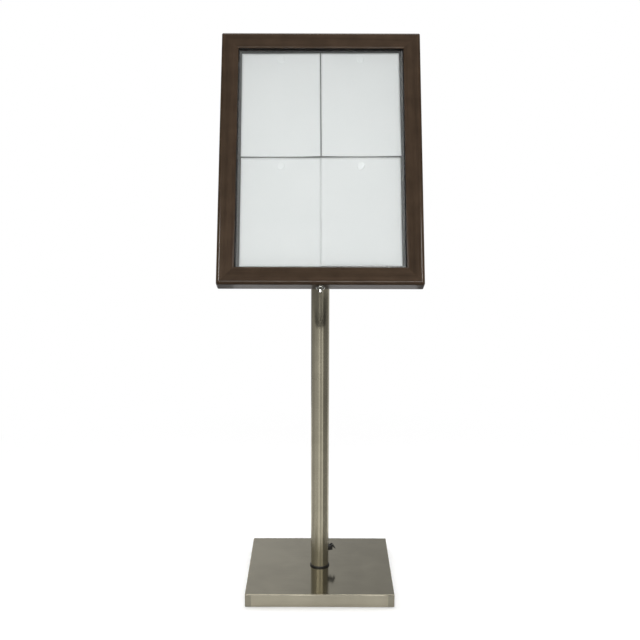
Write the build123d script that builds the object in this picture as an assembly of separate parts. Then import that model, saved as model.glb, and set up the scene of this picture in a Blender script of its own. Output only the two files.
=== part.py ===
from build123d import *
import os
from math import sqrt

# Base: a folded steel cover over a cast weight, on four rubber feet
base_side = 400.0
base_height = 35.0
cover_wall = 1.5
cover_bend = 2.5
ballast_gap = 0.5
ballast_corner = 3.0
foot_radius = 20.0
foot_height = 4.0
foot_proud = 2.0
foot_inset = 42.0

# Pole: two tubes on an inner spigot, bolted to the base from below
pole_radius = 25.0
pole_wall = 2.0
lower_length = 547.0
upper_length = 547.0
joiner_length = 120.0
joiner_wall = 3.0
plug_height = 25.0
ring_width = 2.25
ring_height = 4.0
ring_chamfer = 1.125
base_bolt_radius = 6.0
base_bolt_hole = 6.5
base_bolt_flats = 19.0
base_bolt_head = 7.5
base_washer_radius = 15.0
base_washer_height = 2.5
bolt_pocket_radius = 18.0
bolt_pocket_height = 14.0
cap_height = 3.0
cap_round = 2.0
cap_skirt = 8.0
cap_skirt_wall = 2.5
outlet_below_top = 77.0

# Power inlet on the pole, with a hinged rubber flap
inlet_height = 48.0
inlet_bearing = 20.0
socket_reach = 12.0
socket_width = 13.0
socket_height = 12.0
socket_round = 1.5
barrel_radius = 5.5
barrel_length = 14.0
inlet_bore_radius = 4.0
inlet_bore_depth = 9.0
inlet_pin_radius = 1.0
inlet_pin_recess = 2.0
inlet_nut_flats = 16.0
inlet_nut_height = 4.0
flap_thickness = 2.0
flap_gap = 0.3
flap_rest_angle = 30.0
flap_pin_radius = 0.75
flap_pin_clearance = 0.03
flap_knuckle_radius = 1.6
flap_axis_rise = 2.3
flap_neck = 2.5
flap_plug_length = 1.5
flap_plug_gap = 0.8
lug_radius = 1.8
lug_width = 3.0
lug_foot = 5.0
lug_setback = 1.0

# Tilting head: a yoke bracket on a pivot bolt through the pole's top
tilt_angle = 23.5
pivot_below_top = 22.0
pivot_behind = 40.0
centre_above_pivot = 52.0
bush_radius = 7.0
pivot_bolt_radius = 5.0
running_clearance = 0.05
saddle_radius = 14.0
saddle_height = 4.0
side_gap = 0.3
yoke_plate = 4.0
yoke_width = 160.0
yoke_height = 120.0
yoke_corner = 10.0
ear_radius = 18.0
ear_root = 84.0
yoke_screw_inset = 20.0
yoke_screw_radius = 2.75
yoke_screw_depth = 7.0
yoke_head_radius = 5.5
yoke_head_height = 3.5
pivot_washer_radius = 10.0
pivot_washer_height = 2.0
pivot_head_flats = 17.0
pivot_head_height = 6.4
knob_radius = 20.0
knob_height = 22.0
knob_lobes = 5
knob_scoop_radius = 9.0
knob_round = 1.5
knob_cap = 5.0

# Contents: four A4 sheets held by disc magnets, with bare margins around them
sheet_width = 210.0
sheet_height = 297.0
sheet_thickness = 0.3
sheet_gap = 3.0
lower_sheet_gap = 0.6
row_gap = 2.0
sheet_rise = 9.0
side_margin = 8.0
end_margin = 5.0
magnet_radius = 10.0
magnet_height = 2.0
magnet_chamfer = 0.6
upper_magnet_drop = 18.0
lower_magnet_drop = 24.0

# Case: the glazed frame is the door, and the board inside it stays on the yoke
case_depth = 50.0
face_width = 45.5
flange_depth = 16.0
skirt_width = 17.0
outer_round = 8.0
frame_corner = 4.0
inner_round = 4.0
rebate_width = 8.0
bead_lip = 2.0
glass_setback = 9.0
glass_thickness = 3.0
key_length = 36.0
key_width = 13.0
key_thickness = 4.0
key_setback = 4.2
key_inset = 26.0
seal_width = 10.0
seal_height = 6.0
seal_lock_gap = 38.0
board_thickness = 9.0
board_gap = 1.0
pin_board_thickness = 1.0
pin_board_margin = 1.0
closing_gap = 0.3

# Light bars behind the stiles, with their supply hole and groove in the board
led_end_inset = 53.5
led_width = 11.0
led_height = 10.0
led_wall = 1.0
led_outer_gap = 2.0
led_strip_thickness = 1.2
diffuser_thickness = 1.2
supply_hole_radius = 8.0
supply_hole_rise = 40.0
supply_groove_width = 6.0
supply_groove_depth = 4.0
lead_hole_radius = 2.5
grommet_lip = 3.0
grommet_lip_height = 2.0
grommet_bore = 4.0

# Two butt hinges on the back of the top rail
hinge_inset = 115.0
hinge_length = 50.0
hinge_leaf = 1.2
hinge_case_reach = 24.0
hinge_door_reach = 14.0
knuckle_radius = 3.2
knuckle_setback = 0.4
knuckle_clearance = 0.4
knuckle_end_gap = 0.3
knuckle_middle = 20.0
hinge_pin_radius = 1.5
hinge_screw_spacing = 32.0
hinge_screw_radius = 1.5
hinge_screw_head = 3.0
hinge_screw_depth = 7.0

# Cam lock in the bottom rail, and the keeper on the board
lock_setback = 28.0
lock_barrel_radius = 8.0
lock_bezel_radius = 12.0
lock_bezel_height = 7.0
lock_rim_height = 2.2
lock_nose_radius = 8.4
lock_bezel_round = 0.9
lock_plug_radius = 5.0
lock_plug_proud = 8.0
lock_plug_round = 0.8
keyway_width = 1.6
keyway_length = 6.0
keyway_depth = 9.0
lock_nut_flats = 20.0
lock_nut_turn = 30.0
lock_nut_height = 3.0
cam_rise = 1.8
cam_barrel_gap = 0.4
cam_thickness = 2.0
cam_width = 8.0
cam_hub_radius = 5.5
cam_reach = 11.5
cam_screw_radius = 2.0
cam_screw_length = 9.0
cam_head_radius = 3.5
cam_head_height = 2.0
keeper_plate = 1.2
keeper_height = 10.0
keeper_nut_gap = 1.6
keeper_lip_start = 5.5
keeper_riser = 14.8
keeper_foot = 15.0
keeper_screw_radius = 1.5
keeper_screw_shares = (0.3, 0.75)
keeper_screw_depth = 7.0
keeper_head_radius = 2.6
keeper_head_height = 1.8

# Screws: the share of a head's height that its rim is chamfered
screw_chamfer_share = 0.4

# Heights and places that follow from the sizes above
base_top = foot_proud + base_height
ballast_top = base_top - cover_wall
pocket_top = foot_height + bolt_pocket_height
pole_bore = pole_radius - pole_wall
pole_seam = base_top + lower_length
pole_top = pole_seam + upper_length
pivot_height = pole_top - pivot_below_top
outlet_height = pole_top - outlet_below_top
inlet_z = base_top + inlet_height
saddle_face = pole_radius + saddle_height
ear_inner = saddle_face + side_gap
ear_outer = ear_inner + yoke_plate
washer_face = ear_outer + pivot_washer_height
knob_seat = washer_face + side_gap
open_half_width = sheet_gap / 2 + sheet_width + side_margin
open_half_height = row_gap / 2 + sheet_height + end_margin
half_width = open_half_width + face_width
half_height = open_half_height + face_width
hinge_across = half_width - hinge_inset
board_half_width = half_width - skirt_width - board_gap
board_half_height = half_height - skirt_width - board_gap
board_front = case_depth - board_thickness
pin_front = board_front - pin_board_thickness
glass_back = glass_setback + glass_thickness
seal_back = pin_front - closing_gap
led_outer = half_width - skirt_width - seal_width - led_outer_gap
led_inner = led_outer - led_width
led_middle = (led_outer + led_inner) / 2
hinge_depth = case_depth + knuckle_radius + knuckle_setback
hinge_rise = half_height - skirt_width - board_gap / 2
lock_inside = -half_height + skirt_width
lock_nut_top = lock_inside + lock_nut_height
cam_bottom = lock_nut_top + cam_rise
cam_top = cam_bottom + cam_thickness
keeper_bottom = lock_nut_top + keeper_nut_gap
keeper_front = lock_setback - cam_width / 2 - closing_gap - keeper_plate

# The case is drawn upright, x across, y back from its front face, z up from its middle,
# and then leans back about the pivot at the pole's top
lean = Pos(0, 0, pivot_height) * Rot(-tilt_angle, 0, 0)
case_place = lean * Pos(0, -case_depth - pivot_behind, centre_above_pivot)
pivot_rise = -centre_above_pivot
pivot_depth = case_depth + pivot_behind

# The inlet is drawn with x pointing out of the pole and z up from its middle
inlet_place = Pos(0, 0, inlet_z) * Rot(0, 0, inlet_bearing)
socket_face = pole_radius + socket_reach
flap_axis_out = socket_face + flap_gap + flap_thickness / 2
flap_axis_up = socket_height / 2 + flap_axis_rise


def span(x0, x1, y0, y1, z0, z1):
    """A box given by its limits."""
    return Pos((x0 + x1) / 2, (y0 + y1) / 2, (z0 + z1) / 2) * Box(x1 - x0, y1 - y0, z1 - z0)


def rod(radius, start, end):
    """A round bar from one point to another."""
    way = Vector(*end) - Vector(*start)
    return extrude(Plane(start, z_dir=way) * Circle(radius), way.length)


def hexagon(flats, start, end):
    """A hexagonal bar, measured across its flats."""
    way = Vector(*end) - Vector(*start)
    return extrude(Plane(start, z_dir=way) * RegularPolygon(flats / sqrt(3), 6), way.length)


def screw(radius, head_radius, head_height, tip, seat):
    """A pan-head screw from its tip to the seat under its head."""
    way = (Vector(*seat) - Vector(*tip)).normalized()
    top = Vector(*seat) + way * head_height
    head = rod(head_radius, seat, top)
    rim = head.edges().filter_by(GeomType.CIRCLE).sort_by_distance(top)[0]
    head = chamfer(rim, head_height * screw_chamfer_share)
    return rod(radius, tip, seat) + head


def group(solids):
    return Compound(children=list(solids))


def stand_nodes():
    """The fixed stand: base, pole and the bearing at its top."""
    half = base_side / 2

    outer = span(-half, half, -half, half, foot_proud, base_top)
    folds = outer.edges().filter_by(Axis.Z) + outer.faces().sort_by(Axis.Z)[-1].edges()
    outer = fillet(folds, cover_bend)
    room = half - cover_wall
    inner = span(-room, room, -room, room, foot_proud, ballast_top)
    folds = inner.edges().filter_by(Axis.Z) + inner.faces().sort_by(Axis.Z)[-1].edges()
    inner = fillet(folds, cover_bend - cover_wall)
    bolt_way = rod(base_bolt_hole, (0, 0, 0), (0, 0, base_top))
    cover = outer - inner - bolt_way

    side = room - ballast_gap
    ballast = span(-side, side, -side, side, foot_height, ballast_top)
    ballast = fillet(ballast.edges().filter_by(Axis.Z), ballast_corner)
    ballast = chamfer(ballast.faces().sort_by(Axis.Z)[-1].edges(), cover_bend)
    pocket = rod(bolt_pocket_radius, (0, 0, foot_height), (0, 0, pocket_top))
    ballast = ballast - pocket - bolt_way

    reach = half - foot_inset
    feet = [
        rod(foot_radius, (x, y, 0), (x, y, foot_height))
        for x in (-reach, reach)
        for y in (-reach, reach)
    ]

    washer_bottom = pocket_top - base_washer_height
    plug_top = base_top + plug_height
    washer = rod(base_washer_radius, (0, 0, washer_bottom), (0, 0, pocket_top))
    bolt = rod(base_bolt_radius, (0, 0, washer_bottom), (0, 0, plug_top))
    bolt += hexagon(base_bolt_flats, (0, 0, washer_bottom - base_bolt_head), (0, 0, washer_bottom))
    washer -= rod(base_bolt_radius, (0, 0, 0), (0, 0, pocket_top))
    plug = rod(pole_bore, (0, 0, base_top), (0, 0, plug_top))
    plug -= rod(base_bolt_radius, (0, 0, base_top), (0, 0, plug_top))

    ring = rod(pole_radius + ring_width, (0, 0, base_top), (0, 0, base_top + ring_height))
    ring = chamfer(ring.edges().sort_by(Axis.Z)[-1], ring_chamfer)
    ring -= rod(pole_radius, (0, 0, base_top), (0, 0, base_top + ring_height))

    bore = rod(pole_bore, (0, 0, base_top), (0, 0, pole_top))
    lower = rod(pole_radius, (0, 0, base_top), (0, 0, pole_seam)) - bore
    lower -= inlet_place * rod(barrel_radius, (0, 0, 0), (socket_face, 0, 0))
    pole_solid = rod(pole_radius, (0, 0, pole_seam), (0, 0, pole_top))
    upper = pole_solid - bore
    bush_way = rod(bush_radius, (-saddle_face, 0, pivot_height), (saddle_face, 0, pivot_height))
    outlet_in = (0, pole_bore - grommet_lip, outlet_height)
    outlet_out = (0, pole_radius + grommet_lip, outlet_height)
    outlet_way = rod(supply_hole_radius, outlet_in, outlet_out)
    outlet = rod(supply_hole_radius + grommet_lip, (0, 0, outlet_height), outlet_out) - pole_solid
    outlet = outlet + outlet_way - rod(grommet_bore, outlet_in, outlet_out)
    upper = upper - bush_way - outlet_way
    joiner_low = pole_seam - joiner_length / 2
    joiner_high = pole_seam + joiner_length / 2
    joiner = rod(pole_bore, (0, 0, joiner_low), (0, 0, joiner_high))
    joiner -= rod(pole_bore - joiner_wall, (0, 0, joiner_low), (0, 0, joiner_high))

    cap = rod(pole_radius, (0, 0, pole_top), (0, 0, pole_top + cap_height))
    cap = fillet(cap.edges().sort_by(Axis.Z)[-1], cap_round)
    cap += rod(pole_bore, (0, 0, pole_top - cap_skirt), (0, 0, pole_top))
    cap -= rod(pole_bore - cap_skirt_wall, (0, 0, pole_top - cap_skirt), (0, 0, pole_top))

    bolt_room = pivot_bolt_radius + running_clearance
    bush = bush_way - rod(bolt_room, (-saddle_face, 0, pivot_height), (saddle_face, 0, pivot_height))
    saddles = {
        side: rod(saddle_radius, (0, 0, pivot_height), (way * saddle_face, 0, pivot_height))
        - pole_solid
        - bush_way
        for side, way in (("left", -1), ("right", 1))
    }

    return {
        "base_cover": cover,
        "ballast_block": ballast,
        "base_feet": group(feet),
        "base_bolt": bolt,
        "base_washer": washer,
        "foot_ring": ring,
        "pole_plug": plug,
        "lower_tube": lower,
        "upper_tube": upper,
        "tube_joiner": joiner,
        "pole_cap": cap,
        "pole_grommet": outlet,
        "pivot_bush": bush,
        "saddle_left": saddles["left"],
        "saddle_right": saddles["right"],
    }


def inlet_nodes():
    """The power inlet that saddles the pole, and its flap, which hangs ajar."""
    half_side = socket_width / 2
    half_tall = socket_height / 2
    pole = rod(pole_radius, (0, 0, -socket_height), (0, 0, socket_height))
    bore = rod(pole_bore, (0, 0, -socket_height), (0, 0, socket_height))

    def along_hinge(radius, reach):
        start = (flap_axis_out, -reach, flap_axis_up)
        return rod(radius, start, (flap_axis_out, reach, flap_axis_up))

    block = span(0, socket_face, -half_side, half_side, -half_tall, half_tall)
    block = fillet(block.faces().sort_by(Axis.X)[-1].edges(), socket_round)
    lug_back = socket_face - lug_setback - lug_foot / 2
    lug_base = Pos(lug_back, half_tall + lug_setback / 2) * Rectangle(lug_foot, lug_setback)
    lug_eye = Pos(flap_axis_out, flap_axis_up) * Circle(lug_radius)
    lug_shape = make_hull(lug_base.edges() + lug_eye.edges())
    for edge in (-half_side, half_side - lug_width):
        block += extrude(Plane.XZ.offset(-edge) * lug_shape, -lug_width)
    bore_end = socket_face - inlet_bore_depth
    flap_pin = along_hinge(flap_pin_radius, half_side)
    socket = block - pole + rod(barrel_radius, (pole_radius - barrel_length, 0, 0), (bore_end, 0, 0))
    socket -= rod(inlet_bore_radius, (bore_end, 0, 0), (socket_face, 0, 0))
    socket -= flap_pin

    nut = hexagon(inlet_nut_flats, (pole_bore - inlet_nut_height, 0, 0), (pole_bore, 0, 0)) & bore
    nut -= rod(barrel_radius, (0, 0, 0), (pole_bore, 0, 0))
    pin = rod(inlet_pin_radius, (bore_end, 0, 0), (socket_face - inlet_pin_recess, 0, 0))

    neck_half = half_side - lug_width - flap_gap
    inside = socket_face + flap_gap
    outside = inside + flap_thickness
    plate = span(inside, outside, -half_side, half_side, -half_tall, flap_axis_up - flap_neck)
    plate = fillet(plate.edges().filter_by(Axis.X).sort_by(Axis.Z)[:2], socket_round)
    flap = plate + span(inside, outside, -neck_half, neck_half, flap_axis_up - flap_neck, flap_axis_up)
    flap += along_hinge(flap_knuckle_radius, neck_half)
    flap += rod(inlet_bore_radius - flap_plug_gap, (inside - flap_plug_length, 0, 0), (inside, 0, 0))
    flap -= along_hinge(flap_pin_radius + flap_pin_clearance, neck_half)
    flap = flap.rotate(Axis((flap_axis_out, 0, flap_axis_up), (0, 1, 0)), -flap_rest_angle)

    solids = {
        "inlet_socket": socket,
        "inlet_nut": nut,
        "inlet_pin": pin,
        "flap_pin": flap_pin,
        "inlet_flap": flap,
    }
    return {name: inlet_place * solid for name, solid in solids.items()}


def yoke_screw_places():
    x = yoke_width / 2 - yoke_screw_inset
    z = yoke_height / 2 - yoke_screw_inset
    return [(sx * x, pivot_rise + sz * z) for sx in (-1, 1) for sz in (-1, 1)]


def yoke_nodes():
    """The bracket on the board's back, with ears on both sides of the pole, and its clamp."""
    plate_back = case_depth + yoke_plate
    web = span(
        -yoke_width / 2, yoke_width / 2, case_depth, plate_back,
        pivot_rise - yoke_height / 2, pivot_rise + yoke_height / 2,
    )
    web = fillet(web.edges().filter_by(Axis.Y), yoke_corner)
    root = Pos(case_depth + yoke_plate / 2, pivot_rise) * Rectangle(yoke_plate, ear_root)
    eye = Pos(pivot_depth, pivot_rise) * Circle(ear_radius)
    ear_shape = make_hull(root.edges() + eye.edges())
    ear_shape -= Pos(pivot_depth, pivot_rise) * Circle(pivot_bolt_radius)
    bracket = web
    for x in (-ear_outer, ear_inner):
        bracket += extrude(Plane.YZ.offset(x) * ear_shape, yoke_plate)
    screws = []
    for x, z in yoke_screw_places():
        tip = (x, case_depth - yoke_screw_depth, z)
        seat = (x, plate_back, z)
        bracket -= rod(yoke_screw_radius, tip, seat)
        screws.append(screw(yoke_screw_radius, yoke_head_radius, yoke_head_height, tip, seat))

    def at(x):
        return (x, pivot_depth, pivot_rise)

    knob_top = knob_seat + knob_height
    bolt_end = knob_top - knob_cap
    bolt = rod(pivot_bolt_radius, at(-washer_face), at(bolt_end - side_gap))
    bolt += hexagon(pivot_head_flats, at(-washer_face - pivot_head_height), at(-washer_face))
    washers = [
        rod(pivot_washer_radius, at(side * ear_outer), at(side * washer_face))
        - rod(pivot_bolt_radius, at(side * ear_outer), at(side * washer_face))
        for side in (-1, 1)
    ]

    knob = rod(knob_radius, at(knob_seat), at(knob_top))
    knob = fillet(knob.edges().sort_by(Axis.X)[-1], knob_round)
    scoop_reach = knob_radius + knob_scoop_radius / 2
    for spot in PolarLocations(scoop_reach, knob_lobes):
        y, z = spot.position.X, spot.position.Y
        start = (knob_seat, pivot_depth + y, pivot_rise + z)
        knob -= rod(knob_scoop_radius, start, (knob_top, start[1], start[2]))
    knob -= rod(pivot_bolt_radius + running_clearance, at(knob_seat), at(bolt_end))

    return {
        "yoke_bracket": bracket,
        "yoke_screws": group(screws),
        "pivot_bolt": bolt,
        "pivot_washers": group(washers),
        "clamp_knob": knob,
    }


def board_nodes():
    """The board on the yoke, the steel pin board, the sheets, their magnets and the light bars."""
    across, tall = board_half_width, board_half_height
    board = span(-across, across, board_front, case_depth, -tall, tall)
    for x, z in yoke_screw_places():
        board -= rod(yoke_screw_radius, (x, case_depth - yoke_screw_depth, z), (x, case_depth, z))
    supply = (0, board_front, supply_hole_rise)
    board -= rod(supply_hole_radius, supply, (0, case_depth, supply_hole_rise))
    board -= span(
        -led_middle, led_middle, board_front, board_front + supply_groove_depth,
        supply_hole_rise - supply_groove_width / 2, supply_hole_rise + supply_groove_width / 2,
    )
    for side in (-1, 1):
        for x in hinge_screw_places(side):
            z = hinge_rise - hinge_case_reach / 2 - knuckle_radius / 2
            board -= rod(hinge_screw_radius, (x, case_depth - hinge_screw_depth, z), (x, case_depth, z))
    for x, z in keeper_screw_places():
        board -= rod(keeper_screw_radius, (x, pin_front, z), (x, pin_front + keeper_screw_depth, z))

    steel_across = across - pin_board_margin
    steel_tall = tall - pin_board_margin
    steel = span(-steel_across, steel_across, pin_front, board_front, -steel_tall, steel_tall)
    for x in (-led_middle, led_middle):
        steel -= rod(lead_hole_radius, (x, pin_front, supply_hole_rise), (x, board_front, supply_hole_rise))
    for x, z in keeper_screw_places():
        steel -= rod(keeper_screw_radius, (x, pin_front, z), (x, board_front, z))

    grommet = rod(supply_hole_radius, supply, (0, case_depth, supply_hole_rise))
    lip_end = (0, case_depth + grommet_lip_height, supply_hole_rise)
    grommet += rod(supply_hole_radius + grommet_lip, (0, case_depth, supply_hole_rise), lip_end)
    grommet -= rod(grommet_bore, supply, lip_end)

    nodes = {"back_board": board, "pin_board": steel, "cable_grommet": grommet}

    sheet_front = pin_front - sheet_thickness
    magnets = []
    upper_low = sheet_rise + row_gap / 2
    lower_low = sheet_rise - row_gap / 2 - sheet_height
    rows = (
        ("upper", upper_low, sheet_gap / 2, upper_magnet_drop),
        ("lower", lower_low, lower_sheet_gap / 2, lower_magnet_drop),
    )
    for row, low, inner, drop in rows:
        for side, left in (("left", -inner - sheet_width), ("right", inner)):
            high = low + sheet_height
            sheet = span(left, left + sheet_width, sheet_front, pin_front, low, high)
            nodes[f"menu_sheet_{row}_{side}"] = sheet
            spot = (left + sheet_width / 2, sheet_front, high - drop)
            face = (spot[0], sheet_front - magnet_height, spot[2])
            disc = rod(magnet_radius, spot, face)
            magnets.append(chamfer(disc.edges().sort_by(Axis.Y)[0], magnet_chamfer))
    nodes["sheet_magnets"] = group(magnets)

    strips = []
    diffusers = []
    half = half_height - led_end_inset
    bar_front = pin_front - led_height
    for side, way in (("left", -1), ("right", 1)):
        def bar(near, far, front, back):
            low, high = sorted((way * near, way * far))
            return span(low, high, front, back, -half, half)

        channel = bar(led_inner, led_outer, bar_front, pin_front)
        channel -= bar(led_inner, led_outer - led_wall, bar_front + led_wall, pin_front - led_wall)
        nodes[f"led_channel_{side}"] = channel
        strip_face = led_outer - led_wall - led_strip_thickness
        strips.append(bar(strip_face, led_outer - led_wall, bar_front + led_wall, pin_front - led_wall))
        diffuser_face = led_inner + diffuser_thickness
        diffusers.append(bar(led_inner, diffuser_face, bar_front + led_wall, pin_front - led_wall))
    nodes["led_strips"] = group(strips)
    nodes["led_diffusers"] = group(diffusers)
    return nodes


def hinge_screw_places(side):
    middle = side * hinge_across
    return (middle - hinge_screw_spacing / 2, middle + hinge_screw_spacing / 2)


def hinge_nodes():
    """Two butt hinges: outer knuckles and pin on the case leaf, middle knuckle on the door leaf."""
    nodes = {}
    pins = []
    case_screws = []
    door_screws = []
    leaf_back = case_depth + hinge_leaf
    half = hinge_length / 2
    middle_half = knuckle_middle / 2
    notch = knuckle_radius + knuckle_clearance
    case_screw_z = hinge_rise - hinge_case_reach / 2 - knuckle_radius / 2
    door_screw_z = hinge_rise + hinge_door_reach / 2 + knuckle_radius / 2

    def along(x, radius, start, end):
        return rod(radius, (x + start, hinge_depth, hinge_rise), (x + end, hinge_depth, hinge_rise))

    def sunk_screw(x, z):
        tip = (x, case_depth - hinge_screw_depth, z)
        face = Plane((x, leaf_back, z), x_dir=(1, 0, 0), z_dir=(0, -1, 0))
        head = loft([face * Circle(hinge_screw_head), face.offset(hinge_leaf) * Circle(hinge_screw_radius)])
        return rod(hinge_screw_radius, tip, (x, case_depth, z)) + head

    for side, way in (("left", -1), ("right", 1)):
        x = way * hinge_across
        low = hinge_rise - hinge_case_reach
        case_leaf = span(x - half, x + half, case_depth, leaf_back, low, hinge_rise - notch)
        door_leaf = span(
            x - half, x + half, case_depth, leaf_back, hinge_rise + notch, hinge_rise + hinge_door_reach,
        )
        outer_start = middle_half + knuckle_end_gap
        for start, end in ((-half, -outer_start), (outer_start, half)):
            case_leaf += span(
                x + start, x + end, case_depth, leaf_back, hinge_rise - notch, hinge_rise - board_gap / 2,
            )
            case_leaf += along(x, knuckle_radius, start, end)
        door_leaf += span(
            x - middle_half, x + middle_half, case_depth, leaf_back,
            hinge_rise + board_gap / 2, hinge_rise + notch,
        )
        door_leaf += along(x, knuckle_radius, -middle_half, middle_half)
        case_leaf -= along(x, hinge_pin_radius, -half, half)
        door_leaf -= along(x, hinge_pin_radius + running_clearance, -half, half)
        pins.append(along(x, hinge_pin_radius, -half, half))
        for screw_x in hinge_screw_places(way):
            case_screw = sunk_screw(screw_x, case_screw_z)
            door_screw = sunk_screw(screw_x, door_screw_z)
            case_leaf -= case_screw
            door_leaf -= door_screw
            case_screws.append(case_screw)
            door_screws.append(door_screw)
        nodes[f"hinge_leaf_case_{side}"] = case_leaf
        nodes[f"hinge_leaf_door_{side}"] = door_leaf
    nodes["hinge_pins"] = group(pins)
    nodes["hinge_screws_case"] = group(case_screws)
    nodes["hinge_screws_door"] = group(door_screws)
    return nodes


def rail_section():
    """L-shaped moulding: x runs in from the outer edge, y runs back from the front face."""
    inner_edge = face_width - rebate_width
    outline = Polyline(
        (0, 0), (face_width, 0), (face_width, glass_setback), (inner_edge, glass_setback),
        (inner_edge, flange_depth), (skirt_width, flange_depth), (skirt_width, case_depth), (0, case_depth),
        close=True,
    )
    section = make_face(outline)
    section = fillet(section.vertices().sort_by_distance((0, 0, 0))[0], outer_round)
    return fillet(section.vertices().sort_by_distance((face_width, 0, 0))[0], inner_round)


def mitred_rail(half, reach):
    """The moulding along x at the top of a frame, cut at 45 degrees at both ends."""
    start = Plane((-half, 0, reach), x_dir=(0, 0, -1), z_dir=(1, 0, 0))
    bar = extrude(start * rail_section(), half * 2)
    mitre = make_face(Polyline(
        (-half, reach), (half, reach), (half - face_width, reach - face_width),
        (face_width - half, reach - face_width), close=True,
    ))
    return bar & extrude(Plane.XZ * mitre, -case_depth)


def corner_key_solids():
    """Flat keys with round ends, across the mitres and hidden inside the front of the frame."""
    keys = []
    x, z = half_width - key_inset, half_height - key_inset
    for sx in (-1, 1):
        for sz in (-1, 1):
            face = Plane((sx * x, key_setback, sz * z), x_dir=(1, 0, -sx * sz), z_dir=(0, 1, 0))
            keys.append(extrude(face * SlotOverall(key_length, key_width), key_thickness))
    return keys


def door_nodes():
    """The lift-up door: a mitred frame with its glazing, beads, seal and lock."""
    keys = corner_key_solids()
    rails = {
        "rail_top": mitred_rail(half_width, half_height),
        "rail_bottom": Rot(0, 180, 0) * mitred_rail(half_width, half_height),
        "stile_right": Rot(0, 90, 0) * mitred_rail(half_height, half_width),
        "stile_left": Rot(0, -90, 0) * mitred_rail(half_height, half_width),
    }
    outline = RectangleRounded(half_width * 2, half_height * 2, frame_corner)
    frame_block = extrude(Plane.XZ * outline, -case_depth)
    for name in rails:
        rails[name] &= frame_block
        for key in keys:
            rails[name] -= key
    for side in (-1, 1):
        for x in hinge_screw_places(side):
            z = hinge_rise + hinge_door_reach / 2 + knuckle_radius / 2
            depth = case_depth - hinge_screw_depth
            rails["rail_top"] -= rod(hinge_screw_radius, (x, depth, z), (x, case_depth, z))
    lock_way = rod(lock_barrel_radius, (0, lock_setback, -half_height), (0, lock_setback, lock_inside))
    rails["rail_bottom"] -= lock_way

    across = open_half_width + rebate_width
    tall = open_half_height + rebate_width
    glass = span(-across, across, glass_setback, glass_back, -tall, tall)
    clear_across = open_half_width - bead_lip
    clear_tall = open_half_height - bead_lip
    beads = [
        span(-across, across, glass_back, flange_depth, clear_tall, tall),
        span(-across, across, glass_back, flange_depth, -tall, -clear_tall),
        span(-across, -clear_across, glass_back, flange_depth, -clear_tall, clear_tall),
        span(clear_across, across, glass_back, flange_depth, -clear_tall, clear_tall),
    ]

    wide = half_width - skirt_width
    high = half_height - skirt_width
    front = seal_back - seal_height
    seal = [
        span(-wide, wide, front, seal_back, high - seal_width, high),
        span(-wide, -seal_lock_gap, front, seal_back, -high, seal_width - high),
        span(seal_lock_gap, wide, front, seal_back, -high, seal_width - high),
        span(-wide, seal_width - wide, front, seal_back, seal_width - high, high - seal_width),
        span(wide - seal_width, wide, front, seal_back, seal_width - high, high - seal_width),
    ]
    return {
        **rails,
        "corner_keys": group(keys),
        "glazing": glass,
        "glazing_beads": group(beads),
        "door_seal": group(seal),
    }


def keeper_screw_places():
    z = keeper_bottom + keeper_height / 2
    foot = keeper_riser + keeper_plate
    return [(foot + keeper_foot * share, z) for share in keeper_screw_shares]


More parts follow.
